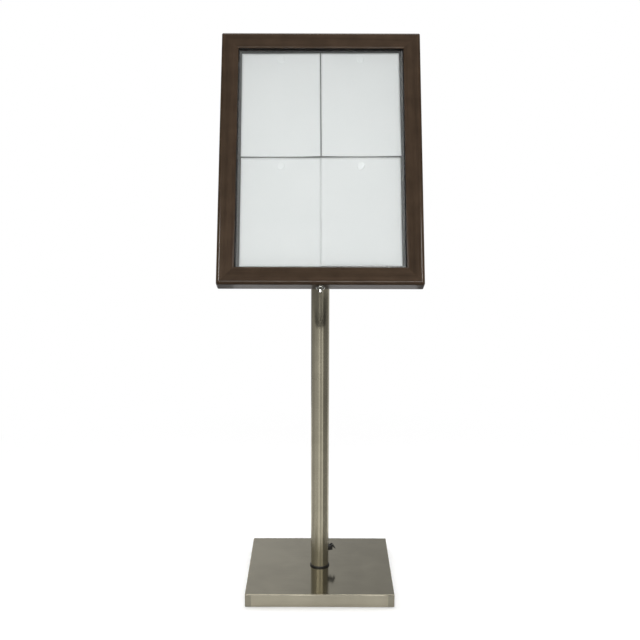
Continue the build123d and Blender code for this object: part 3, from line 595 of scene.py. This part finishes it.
def soft_corners(corners, cuts, steps=6):
    """Rounds a closed polyline: corner B, cut back to A and C, becomes the arc
    ((1-t)^2 A + 2wt(1-t) B + t^2 C) / ((1-t)^2 + 2wt(1-t) + t^2), with w the sine of half the
    corner's angle. One more point a little before A and after C keeps the flats beside the arc flat
    when they are shaded."""
    b = np.asarray(corners, float)
    before, after = np.roll(b, 1, 0) - b, np.roll(b, -1, 0) - b
    before /= np.linalg.norm(before, axis=1)[:, None]
    after /= np.linalg.norm(after, axis=1)[:, None]
    cut = np.asarray(cuts, float)[:, None]
    a, c = (b + before * cut)[:, None], (b + after * cut)[:, None]
    w = np.sqrt((1 - np.sum(before * after, 1)) / 2)[:, None, None]
    t = np.linspace(0, 1, steps)[None, :, None]
    near, middle, far = (1 - t) ** 2, 2 * w * t * (1 - t), t ** 2
    arc = (near * a + middle * b[:, None] + far * c) / (near + middle + far)
    lead, trail = b + before * cut * flat_guard, b + after * cut * flat_guard
    return np.concatenate([lead[:, None], arc, trail[:, None]], 1).reshape(-1, 2)


def turned(profile, steps=48, foot=(0, 0, 0), axis=(0, 0, 1)):
    """A profile of (radius, height) about an axis: foot + radius (cos t e1 + sin t e2) + height axis."""
    axis = np.asarray(axis, float) / np.linalg.norm(axis)
    e1 = np.cross(axis, (0.31, 0.91, 0.27))
    e1 /= np.linalg.norm(e1)
    t = np.linspace(0, 2 * np.pi, steps, endpoint=False)
    ring = np.outer(np.cos(t), e1) + np.outer(np.sin(t), np.cross(axis, e1))
    profile = np.asarray(profile, float)
    return np.asarray(foot) + profile[:, :1, None] * ring + profile[:, 1:, None] * axis


def round_square(insets, half, corner, run, steps=6):
    """Points round a square for each inset: sign (half - corner - hard) + soft (cos t, sin t), where
    soft = max(corner - inset, 0) is what is left of the corner's radius and
    hard = max(inset - corner, 0). Each corner also gets a point a run before it and after it, along
    (-sin t, cos t)."""
    quarter = np.arange(4)[:, None] * np.pi / 2
    t = (np.r_[0, np.linspace(0, np.pi / 2, steps), np.pi / 2] + quarter).ravel()
    sx, sy = np.repeat([1, -1, -1, 1], steps + 2), np.repeat([1, 1, -1, -1], steps + 2)
    insets = np.asarray(insets, float)[:, None]
    soft, hard = np.maximum(corner - insets, 0), np.maximum(insets - corner, 0)
    slide = np.tile(np.r_[-1, np.zeros(steps), 1], 4) * np.minimum(run, half - insets)
    x = sx * (half - corner - hard) + soft * np.cos(t) - slide * np.sin(t)
    y = sy * (half - corner - hard) + soft * np.sin(t) + slide * np.cos(t)
    return np.stack([x, y], -1)


print("rounded square", soft_corners([(0, 0), (9, 0), (9, 9), (0, 9)], [2] * 4).shape)

# %% [markdown]
# The case leans back about its pivot at the pole's top, so its pieces are drawn upright in their own
# measures, across, back from the front face and up from the middle, and are leant as whole arrays.

# %% Case measures and placing
lean = math.radians(23.5)
pivot_height, pivot_depth, pivot_rise = 1109.0, 90.0, -52.0
half_wide, half_tall = 265.0, 348.5
face_width, case_depth, skirt_width = 45.5, 50.0, 17.0


def in_case(points):
    """(across, back, up) in the case to the row frame: a turn by the lean about the pivot."""
    across, back, up = np.moveaxis(np.asarray(points, float), -1, 0)
    back, up = back - pivot_depth, up - pivot_rise
    y = back * math.cos(lean) + up * math.sin(lean)
    z = pivot_height - back * math.sin(lean) + up * math.cos(lean)
    return np.stack([across, y, z], -1)


def out_of_case(points):
    """The way back from the row frame to (across, back, up)."""
    across, y, z = np.moveaxis(np.asarray(points, float), -1, 0)
    z = z - pivot_height
    back = y * math.cos(lean) - z * math.sin(lean) + pivot_depth
    return np.stack([across, back, y * math.sin(lean) + z * math.cos(lean) + pivot_rise], -1)


case_back = in_case((0, 1, 0)) - in_case((0, 0, 0))
case_up = in_case((0, 0, 1)) - in_case((0, 0, 0))
print("case centre", in_case((0.0, 0.0, 0.0)).round(1))

# %% [markdown]
# A piece is a welded mesh with a finish, a body to ride on and the engineering solid that it stands
# for. Smooth shading with sharp edges above a chosen angle keeps round faces round and flat faces
# flat. Two more helpers read arrays out of a mesh, for maps and attributes that follow its faces.

# %% Making a piece
def add_piece(name, grids, finish, body, stands_for=(), caps=(), sharp=40):
    """Grids in millimetres become one piece in metres that rides on a body and replaces CAD nodes, or
    none where it is only trim."""
    scaled = [(grid * MM, wrap) for grid, wrap in grids]
    mesh = weld(build_mesh(name, scaled, [loop * MM for loop in caps]))
    mesh.shade_smooth()
    mesh.set_sharp_from_angle(angle=math.radians(sharp))
    mesh.materials.append(finish)
    piece = bpy.data.objects.new(name, mesh)
    scene.collection.objects.link(piece)
    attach(piece, body)
    if stands_for:
        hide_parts(*stands_for)
    return piece


def vectors(items, key):
    """One vector of every point or face of a mesh, such as co, normal or center, as an array."""
    flat = np.zeros(len(items) * 3)
    items.foreach_get(key, flat)
    return flat.reshape(-1, 3)


def corner_data(mesh):
    """Each face corner's point, and its face's normal and middle, in metres."""
    index, size = np.zeros(len(mesh.loops), np.int32), np.zeros(len(mesh.polygons), np.int32)
    mesh.loops.foreach_get("vertex_index", index)
    mesh.polygons.foreach_get("loop_total", size)
    owner = np.repeat(np.arange(len(size)), size)
    normals, middles = vectors(mesh.polygons, "normal"), vectors(mesh.polygons, "center")
    return vectors(mesh.vertices, "co")[index], normals[owner], middles[owner]


def brush_map(piece, pairs):
    """Writes pairs of metres, along the brushing and across it, as the map that the steels read."""
    layer = piece.data.uv_layers.new(name="brush")
    layer.data.foreach_set("uv", np.asarray(pairs, np.float32).ravel())


# %% [markdown]
# ## The base
#
# A folded stainless cover hides a cast weight. Its profile starts inside the wall, turns round the
# bottom edge, climbs the wall, folds over and runs to the middle, and is carried round the square.
# Where the walls meet, the fabricator dresses the corner with an upright stroke, drawn as a darker
# strip, and the fold carries a painted highlight. A bevelled box could show neither.

# %% Base cover
base_half, base_top, cover_foot, cover_wall, cover_bend = 200.0, 37.0, 2.0, 1.5, 2.5
wall_inside, top_margin = 30.0, 8.0
cover_corner, dressed_run = 3.0, 14.0
cover_profile = soft_corners(
    [(cover_wall, wall_inside), (cover_wall, cover_foot), (0, cover_foot), (0, base_top),
     (top_margin, base_top), (base_half, base_top)],
    [0, 0.4, 0.4, cover_bend, 2.0, 0],
    steps=8,
)
outline = round_square(cover_profile[:, 0], base_half, cover_corner, dressed_run)
heights = np.broadcast_to(cover_profile[:, 1, None, None], outline.shape[:2] + (1,))
cover = add_piece(
    "folded_base_cover", [(np.concatenate([outline, heights], -1), True)], cover_steel, "stand",
    ["base_cover"],
)
print("cover faces", len(cover.data.polygons))

# %% Brushing, corner tone and painted highlight of the cover
# The lines run along each face; on the dressed strips they run up it.
# The fold gets a painted highlight, paler and rougher; the dressed corner strips are drawn darker.
fold_reach, fold_highlight_level, corner_darkening = 1.05 * cover_bend * MM, 0.2, -0.27
spots, normals, middles = corner_data(cover.data)
facing = np.argmax(np.abs(normals), 1)
along = np.where(facing == 0, spots[:, 1], spots[:, 0])
over = np.where(facing == 2, spots[:, 1], spots[:, 2])
strip_start = (base_half - cover_corner - dressed_run) * MM
dressed = (facing != 2) & (np.abs(middles[:, :2]).min(1) > strip_start)
lengthwise, upright = np.stack([along, over], 1), np.stack([over, along], 1)
brush_map(cover, np.where(dressed[:, None], upright, lengthwise))
from_edge = base_half * MM - np.abs(spots[:, :2]).max(1)
fold = (from_edge < fold_reach) & (spots[:, 2] > base_top * MM - fold_reach)
fold_highlight_and_corner_tone = np.where(fold, fold_highlight_level, np.where(dressed, corner_darkening, 0.0)).astype(np.float32)
cover.data.attributes.new("fold_highlight_and_corner_tone", "FLOAT", "CORNER").data.foreach_set("value", fold_highlight_and_corner_tone)
print("dressed corners of faces", int(dressed.sum()))

# %% [markdown]
# Four rubber pads keep the steel off the floor. Each is turned with a hollow under it, as moulded
# feet have so that they don't rock.

# %% Rubber feet
foot_spread, foot_radius, foot_tall = 158.0, 20.0, 4.0
foot_profile = soft_corners(
    [(0, 1.2), (7, 1.2), (8, 0), (foot_radius, 0), (foot_radius - 1, foot_tall), (0, foot_tall)],
    [0, 0.5, 0.5, 1.2, 0.6, 0],
    steps=4,
)
foot_spots = [(x, y, 0) for x in (-foot_spread, foot_spread) for y in (-foot_spread, foot_spread)]
feet = add_piece(
    "moulded_feet", [(turned(foot_profile, 40, spot), True) for spot in foot_spots], black_rubber,
    "stand", ["base_feet"],
)
print("feet faces", len(feet.data.polygons))

# %% [markdown]
# ## The pole
#
# Two steel tubes butt together half way up. A tube is turned as a closed wall whose ends are eased
# by half a millimetre, so the butt joint shows as a fine line, as it does on the real pole. Its map
# is unrolled: metres round the tube, then metres up it.

# %% Tubes
pole_radius, pole_bore, pole_seam, pole_top = 25.0, 23.0, 584.0, 1131.0
end_ease, bore_ease = 0.5, 0.3


def closed(loop):
    """A profile that ends where it began."""
    return np.concatenate([loop, loop[:1]])


def tube_profile(low, high):
    """The wall of a tube as a closed loop of (radius, height)."""
    corners = [(pole_bore, low), (pole_radius, low), (pole_radius, high), (pole_bore, high)]
    return closed(soft_corners(corners, [bore_ease, end_ease, end_ease, bore_ease], steps=4))


for name, low, high in (("lower_tube", base_top, pole_seam), ("upper_tube", pole_seam, pole_top)):
    tube = add_piece(
        f"{name}_brushed", [(turned(tube_profile(low, high), 128), True)], pole_steel, "stand",
        [name],
    )
    spots, _, middles = corner_data(tube.data)
    middle = np.arctan2(middles[:, 1], middles[:, 0])
    swing = np.arctan2(spots[:, 1], spots[:, 0]) - middle
    swing = (swing + np.pi) % (2 * np.pi) - np.pi
    brush_map(tube, np.stack([(middle + swing) * pole_radius * MM, spots[:, 2]], 1))
    print(name, "faces", len(tube.data.polygons))

# %% [markdown]
# A black ring hides the gap where the pole meets the cover, and a black cap with a plug below it
# closes the pole's top. Both are moulded, so they are turned with small rounds on every edge.

# %% Ring and cap
ring_bore, ring_radius, ring_top = 25.05, 27.25, 41.0
ring_loop = soft_corners(
    [(ring_bore, base_top), (ring_radius, base_top), (ring_radius, ring_top), (ring_bore, ring_top)],
    [0.1, 0.2, 1.1, 0.5],
)
ring = add_piece(
    "moulded_foot_ring", [(turned(closed(ring_loop), 96), True)], black_plastic, "stand",
    ["foot_ring"],
)
plug_radius, plug_low, cap_rim, cap_flat, cap_top = 22.95, 1123.0, 1133.0, 18.0, 1134.0
cap_profile = soft_corners(
    [(0, plug_low), (20.5, plug_low), (plug_radius, plug_low), (plug_radius, pole_top),
     (pole_radius, pole_top), (pole_radius, cap_rim), (cap_flat, cap_top), (0, cap_top)],
    [0, 0, 0.4, 0, 0.2, 0.9, 2.0, 0],
)
cap = add_piece(
    "moulded_pole_cap", [(turned(cap_profile, 64), True)], black_plastic, "stand",
    ["pole_cap"],
)
print("ring and cap", len(ring.data.polygons), len(cap.data.polygons))

# %% [markdown]
# ## The glazed frame
#
# The door's four rails are one moulding: a broad face with a large round outside and a small one
# inside, a rebate for the glass, and a skirt that wraps the board. The profile is carried along each
# side between its two mitres. The outer corner is eased in plan, so near a mitre the path follows a
# short arc; at the mitre itself the profile shrinks by a hair, which leaves the fine V of a real
# joint. One bevelled frame would have no joints, and its grain would run the wrong way on two sides.

# %% Rail moulding
corner_ease, joint_hair = 4.0, 0.3
lip_depth, rebate_width, rebate_depth = 9.0, 37.5, 16.0
rail_profile = soft_corners(
    [(0, 0), (face_width, 0), (face_width, lip_depth), (rebate_width, lip_depth),
     (rebate_width, rebate_depth), (skirt_width, rebate_depth), (skirt_width, case_depth),
     (0, case_depth)],
    [8.0, 4.0, 0.6, 0.2, 0.6, 0.8, 0.8, 1.0],
    steps=9,
)


def carried_rail(half, reach):
    """The moulding between two mitres: (inset, back) goes to (across, back, up) by the same soft and
    hard corner as round_square, with t from 45 to 90 degrees at each end."""
    inward = np.roll(rail_profile, -1, 0) - np.roll(rail_profile, 1, 0)
    length = np.maximum(np.linalg.norm(inward, axis=1), 1e-9)[:, None]
    inward = np.stack([-inward[:, 1], inward[:, 0]], 1) / length
    t = np.radians([45, 45, 50, 60, 70, 80, 90])
    shrink = np.array([1, 0, 0, 0, 0, 0, 0]) * joint_hair
    back_off = np.array([0, 1, 0, 0, 0, 0, 0]) * joint_hair
    section = rail_profile[:, None] + inward[:, None] * shrink[:, None]
    inset = section[..., 0]
    soft, hard = np.maximum(corner_ease - inset, 0), np.maximum(inset - corner_ease, 0)
    across = half - corner_ease - hard + soft * np.cos(t) - back_off
    up = reach - corner_ease - hard + soft * np.sin(t)
    end = np.stack([across, section[..., 1], up], -1)
    return np.concatenate([end, end[:, ::-1] * (-1, 1, 1)], 1)


print("rail profile points", len(rail_profile))

# %% [markdown]
# Each rail is then turned to its side of the frame. The lip that faces the glass is near black,
# so those faces take a second finish, and every point is told where it lies in its own board.

# %% Lip and grain
lip_margin, lip_start, lip_end = 0.6, 3.2, 9.2
board_step = (1.37, 0.71, 0)


def darken_lip(rail, upright):
    """Faces at the opening, between two depths behind the front, take the second finish."""
    middles = out_of_case(vectors(rail.data.polygons, "center") / MM)
    inset = half_wide - np.abs(middles[:, 0]) if upright else half_tall - np.abs(middles[:, 2])
    lip = (inset > face_width - lip_margin) & (middles[:, 1] > lip_start) & (middles[:, 1] < lip_end)
    rail.data.materials.append(lip_black)
    rail.data.polygons.foreach_set("material_index", lip.astype(np.int32))


def lay_grain(rail, upright, number):
    """Metres along, across and into the rail, moved to another part of the wood for each rail."""
    place = out_of_case(vectors(rail.data.vertices, "co") / MM) * MM
    board = place[:, [2, 0, 1]] if upright else place[:, [0, 2, 1]]
    board = (board + np.array(board_step) * number).astype(np.float32)
    layer = rail.data.attributes.new("grain", "FLOAT_VECTOR", "POINT")
    layer.data.foreach_set("vector", board.ravel())


print("lip from", lip_start, "to", lip_end, "mm")

# %% Four rails
for number, name in enumerate(("rail_top", "stile_right", "rail_bottom", "stile_left")):
    upright = number % 2 == 1
    grid = carried_rail(half_tall, half_wide) if upright else carried_rail(half_wide, half_tall)
    turn = -number * np.pi / 2
    across = grid[..., 0] * np.cos(turn) - grid[..., 2] * np.sin(turn)
    up = grid[..., 0] * np.sin(turn) + grid[..., 2] * np.cos(turn)
    grid = in_case(np.stack([across, grid[..., 1], up], -1))
    rail = add_piece(
        f"wood_{name}", [(closed(grid), False)], wood, "door", [name],
        caps=[grid[:, 0], grid[:, -1]],
    )
    darken_lip(rail, upright)
    lay_grain(rail, upright, number)
    print(name, "faces", len(rail.data.polygons))

# %% [markdown]
# A thin black strip runs up both stiles behind the glass, beside its bead, and draws the dark line
# at each side of the opening. Its rounded section is carried straight up the door, because a
# painted line on the glass would have no edge to catch the light.

# %% Side dark strips
bead_lip, glass_back, dark_strip_width, dark_strip_depth = 2.0, 12.0, 2.6, 0.8
dark_strip_edge, dark_strip_reach = half_wide - face_width - bead_lip, half_tall - face_width - bead_lip
dark_strip_loop = soft_corners(
    [(0, 0), (dark_strip_width, 0), (dark_strip_width, dark_strip_depth), (0, dark_strip_depth)], [0.1, 0.25, 0.25, 0.1],
)


def carried_dark_strip(side):
    """The section (s, d) carried between two heights: (side (edge - s), glass back + d, up)."""
    s, d = closed(dark_strip_loop).T[:, :, None]
    up = np.array([-dark_strip_reach, dark_strip_reach])
    across, back = side * (dark_strip_edge - s) + 0 * up, glass_back + d + 0 * up
    return in_case(np.stack([across, back, up + 0 * s], -1))


dark_strip_grids = [carried_dark_strip(-1), carried_dark_strip(1)]
dark_strips = add_piece(
    "side_dark_strips", [(grid, False) for grid in dark_strip_grids], black_rubber, "door",
    caps=[grid[:-1, end] for grid in dark_strip_grids for end in (0, -1)],
)
print("dark_strips", len(dark_strips.data.polygons))

# %% [markdown]
# ## Menu sheets
#
# Four blank A4 sheets hang side by side on magnets. Paper held at one point never lies quite flat:
# the free corners lift towards the glass. Each sheet is a grid whose lift grows with the fourth
# power of the way towards a corner, and a thin solid is made of it with Solidify. A cloth
# simulation could curl the paper too, but a formula puts each corner where the picture has it.

# %% Sheets
sheet_wide, sheet_tall, sheet_thick, board_face = 210.0, 297.0, 0.12, 39.95
sheet_gap, sheet_ripple = 0.1, 0.25


def hung_sheet(middle, low, turn, lifts):
    """A sheet by (s, t) from 0 to 1: across = middle + wide (s - 1/2), up = low + tall t, then a
    small turn in its plane. It stands off the board by the four corners' lifts, each fading as the
    fourth power of the distance, and by a ripple sin(pi s) (1 - t)^2."""
    s, t = np.meshgrid(np.linspace(0, 1, 43), np.linspace(0, 1, 61))
    across, up = (s - 0.5) * sheet_wide, (t - 0.5) * sheet_tall
    small = math.radians(turn)
    a = middle + across * math.cos(small) - up * math.sin(small)
    u = low + sheet_tall / 2 + across * math.sin(small) + up * math.cos(small)
    fade = [((1 - s) * (1 - t)) ** 4, (s * (1 - t)) ** 4, ((1 - s) * t) ** 4, (s * t) ** 4]
    lift = sum(height * share for height, share in zip(lifts, fade))
    ripple = sheet_ripple * np.sin(np.pi * s) * (1 - t) ** 2
    return np.stack([a, board_face - sheet_gap - lift - ripple, u], -1)


sheet_settings = {  # middle, lower edge, turn in degrees, lift of the two lower and two upper corners
    "upper_left": (-106.6, 8.8, 0.42, (4.4, 4.4, 0.2, 0.2)),
    "upper_right": (106.4, 10.4, 0.42, (4.6, 4.0, 0.2, 0.2)),
    "lower_left": (-104.46, -291.4, 0.14, (0.4, 0.2, 0.3, 0.3)),
    "lower_right": (105.58, -289.8, 0.14, (0.2, 0.4, 0.3, 0.3)),
}
for name, settings in sheet_settings.items():
    sheet = add_piece(
        f"paper_{name}", [(in_case(hung_sheet(*settings)), False)], paper, "case",
        [f"menu_sheet_{name}"],
    )
    solid = sheet.modifiers.new("thickness", "SOLIDIFY")
    solid.thickness, solid.offset = sheet_thick * MM, 0.0
    print("sheet", name, len(sheet.data.polygons))

# %% [markdown]
# Each sheet hangs from a white disc magnet with a rounded rim and a face that is very slightly
# domed, so that it shows on the paper only as a faint round.

# %% Magnets
magnet_radius, magnet_tall, magnet_back = 10.0, 1.5, 39.6
magnet_profile = soft_corners(
    [(0, 0), (magnet_radius, 0), (9.7, 0.7), (9.1, 1.35), (6, 1.47), (0, magnet_tall)],
    [0, 0.1, 0.3, 0.4, 1.5, 0],
)
magnet_places = ((106.5, 289.0), (105.3, -16.0))
magnet_spots = [(side * x, magnet_back, u) for side in (-1, 1) for x, u in magnet_places]
magnets = add_piece(
    "disc_magnets",
    [(turned(magnet_profile, 48, in_case(spot), -case_back), True) for spot in magnet_spots],
    white_plastic, "case", ["sheet_magnets"], sharp=60,
)
print("magnets", len(magnets.data.polygons))

# %% [markdown]
# ## Lock, knob and screws
#
# The cam lock's bezel is a chrome cone under the bottom rail, turned from the bore outwards and back
# as a closed profile. The clamp knob beside the pivot has five scoops for the fingers, so its radius
# is a function of the angle, which a lathe profile alone can't give.

# %% Lock bezel
lock_axis = (0.0, 28.0, -half_tall)
plug_bore, barrel_radius, barrel_length, bezel_radius, bezel_tall = 5.05, 8.0, 19.5, 12.0, 7.0
bezel_profile = soft_corners(
    [(plug_bore, -barrel_length), (barrel_radius, -barrel_length), (barrel_radius, 0),
     (bezel_radius, 0), (bezel_radius, 2.2), (8.4, bezel_tall), (plug_bore, bezel_tall)],
    [0, 0.4, 0, 0.3, 0.9, 0.9, 0.3],
)
bezel = add_piece(
    "lock_bezel", [(turned(closed(bezel_profile), 64, in_case(lock_axis), -case_up), True)],
    chrome, "door", ["lock_body"],
)
print("bezel", len(bezel.data.polygons))

# %% Clamp knob
# Radius over angle t: knob radius - inset - scoop max(cos 5t, 0)^1.4, fading out towards the middle.
knob_seat, knob_tall, knob_radius, knob_hole = 35.6, 22.0, 20.0, 15.0
knob_lobes, scoop, scoop_fade = 5, 4.2, 12.0
knob_profile = soft_corners(
    [(knob_hole, 0), (0, 0), (0, knob_tall), (13, knob_tall), (14.5, 21), (knob_radius, 21)],
    [0, 1.0, 2.2, 0.7, 0.7, 0],
    steps=6,
)
t = np.linspace(0, 2 * np.pi, 160, endpoint=False)
dip = scoop * np.clip(np.cos(knob_lobes * t), 0, 1) ** 1.4
inset, rise = knob_profile[:, :1], knob_profile[:, 1:]
reach = np.maximum(knob_radius - inset - dip * np.clip(1 - inset / scoop_fade, 0, 1), 0)
across, back, up = reach * 0 + rise, reach * np.cos(t), reach * np.sin(t)
knob_grid = np.stack([knob_seat + across, pivot_depth + back, pivot_rise + up], -1)
knob = add_piece(
    "scooped_knob", [(in_case(knob_grid), True)], black_plastic, "knob",
    ["clamp_knob"],
)
print("knob", len(knob.data.polygons))

# %% [markdown]
# Screw heads are a height over a disc: a shallow dome, less a cross-shaped recess whose walls slope,
# because a straight-sided step would look torn on a round grid. No two screws stop at the same
# angle, so each head is turned by a different amount.

# %% Screw shapes
arm_half, arm_slope, arm_reach, arm_end = 0.17, 0.07, 0.58, 0.12  # shares of the head's radius
stem_length, neck, spin_step = 6.0, 0.05, 0.83


def screw_head(radius, dome, recess):
    """Height over (r, t): dome (1 - r^4) - recess times a cross with sloping walls."""
    angles = np.linspace(0, 2 * np.pi, 72, endpoint=False)
    r, t = np.meshgrid(np.linspace(0, 1, 23), angles, indexing="ij")
    x, y = r * np.cos(t), r * np.sin(t)
    arm = np.minimum(np.abs(x), np.abs(y))
    cross = np.clip((arm_half - arm) / arm_slope, 0, 1) * np.clip((arm_reach - r) / arm_end, 0, 1)
    return np.stack([x * radius, y * radius, dome * (1 - r ** 4) - recess * cross], -1)


def driven_screws(spots, radius, dome, recess, stem, lift):
    """Grids of screws in the case's back: heads face away from the board, each over its stem."""
    head = screw_head(radius, dome, recess)
    tip = -lift - stem_length
    stem_profile = [(radius, 0.0), (radius, -lift), (stem, -lift - neck), (stem, tip), (0, tip)]
    axes = np.stack([(1, 0, 0), case_up, case_back])
    grids = []
    for number, spot in enumerate(spots):
        c, s = math.cos(number * spin_step), math.sin(number * spin_step)
        spun = head @ np.array([(c, s, 0), (-s, c, 0), (0, 0, 1)])
        grids.append((in_case(spot) + spun @ axes, True))
        grids.append((turned(stem_profile, 72, in_case(spot), case_back), True))
    return grids


print("head points", screw_head(5.5, 1.3, 1.5).shape)

# %% Screws
yoke_face, hinge_face, board_row, rail_row = 56.2, 51.15, 317.4, 339.6
yoke_spots = [(sx * 60, yoke_face, pivot_rise + sz * 40) for sx in (-1, 1) for sz in (-1, 1)]
hinge_places = [sx * 150 + dx for sx in (-1, 1) for dx in (-16, 16)]
board_spots = [(across, hinge_face, board_row) for across in hinge_places]
rail_spots = [(across, hinge_face, rail_row) for across in hinge_places]
pan_head = (5.5, 1.3, 1.5, 2.75, 2.2)  # radius, dome, recess, stem and lift
flat_head = (3.0, 0.05, 0.8, 1.5, 0.1)
for name, spots, sizes, body, node in (
    ("pan_head_screws", yoke_spots, pan_head, "case", "yoke_screws"),
    ("hinge_screws_board", board_spots, flat_head, "case", "hinge_screws_case"),
    ("hinge_screws_rail", rail_spots, flat_head, "door", "hinge_screws_door"),
):
    add_piece(name, driven_screws(spots, *sizes), zinc, body, [node])

# %% [markdown]
# ## Finishing the solids that stay
#
# The other solids already have the right shape. They keep their meshes and get a finish, and where an
# edge shows, a Weld joins their loose triangles and a small Bevel eases their edges, as a file or a
# mould would, so that they catch a line of light.

# %% Last finishes
# Laminate on board: a dull dark brown that drifts a little.
board_stock = stock(
    "dark_laminate_board", "#2E2620", "#3A3028", 9 * MM, (0.45, 0.6), 0.08 * MM, IOR=1.5,
)
# Bead: a brown near black that keeps the glass's edge quiet.
bead_wood = stock(
    "near_black_bead", "#100D0A", "#171310", 6 * MM, (0.6, 0.7), 0.01 * MM,
    IOR=1.45, Specular_IOR_Level=0.08,
)
# Raw beech: pale and dry, as it left the saw.
pale_wood = stock("raw_beech", "#C9A878", "#B99466", 5 * MM, (0.6, 0.75), 0.1 * MM, IOR=1.5)
# Light strip: cream resin over its lamps, in patches.
light_strip = stock("light_strip", "#E8E4C8", "#D8CE96", 8 * MM, (0.4, 0.5), 0.03 * MM, IOR=1.5)
print("finishes", len(bpy.data.materials))

# %% Finishes and eased edges
kept = [  # finish, width of the eased edge in millimetres, solids
    (cast_iron, 0.0, "ballast_block"),
    (zinc, 0.25, "base_bolt base_washer pole_plug tube_joiner flap_pin inlet_pin inlet_nut"),
    (zinc, 0.25, "pivot_bolt pivot_washers"),
    (zinc, 0.15, "hinge_leaf_case_left hinge_leaf_case_right hinge_pins"),
    (zinc, 0.15, "hinge_leaf_door_left hinge_leaf_door_right"),
    (zinc, 0.15, "lock_keeper keeper_screws lock_nut lock_cam cam_screw"),
    (nylon, 0.2, "pivot_bush"),
    (powder_coat, 0.5, "saddle_left saddle_right yoke_bracket"),
    (black_plastic, 0.3, "inlet_socket"),
    (black_rubber, 0.25, "inlet_flap cable_grommet pole_grommet"),
    (black_rubber, 0.0, "door_seal"),
    (board_stock, 0.5, "back_board"),
    (grey_paint, 0.0, "pin_board"),
    (aluminium, 0.15, "led_channel_left led_channel_right"),
    (light_strip, 0.0, "led_strips"),
    (frosted, 0.2, "led_diffusers"),
    (pale_wood, 0.3, "corner_keys"),
    (bead_wood, 0.4, "glazing_beads"),
    (glass, 0.4, "glazing"),
    (chrome, 0.2, "lock_plug"),
]
bevel_steps, bevel_angle, weld_distance = 2, 35, 1e-6
finished = set()
for finish, ease, names in kept:
    for name in names.split():
        finished.add(name)
        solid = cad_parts[name]
        solid.data.materials.clear()
        solid.data.materials.append(finish)
        if ease:
            joined = solid.modifiers.new("join", "WELD")
            joined.merge_threshold = weld_distance
            eased = solid.modifiers.new("ease", "BEVEL")
            eased.width, eased.segments, eased.limit_method = ease * MM, bevel_steps, "ANGLE"
            eased.angle_limit = math.radians(bevel_angle)
shown = {piece.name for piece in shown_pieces()}
print("solids without a finish", [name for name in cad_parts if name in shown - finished])
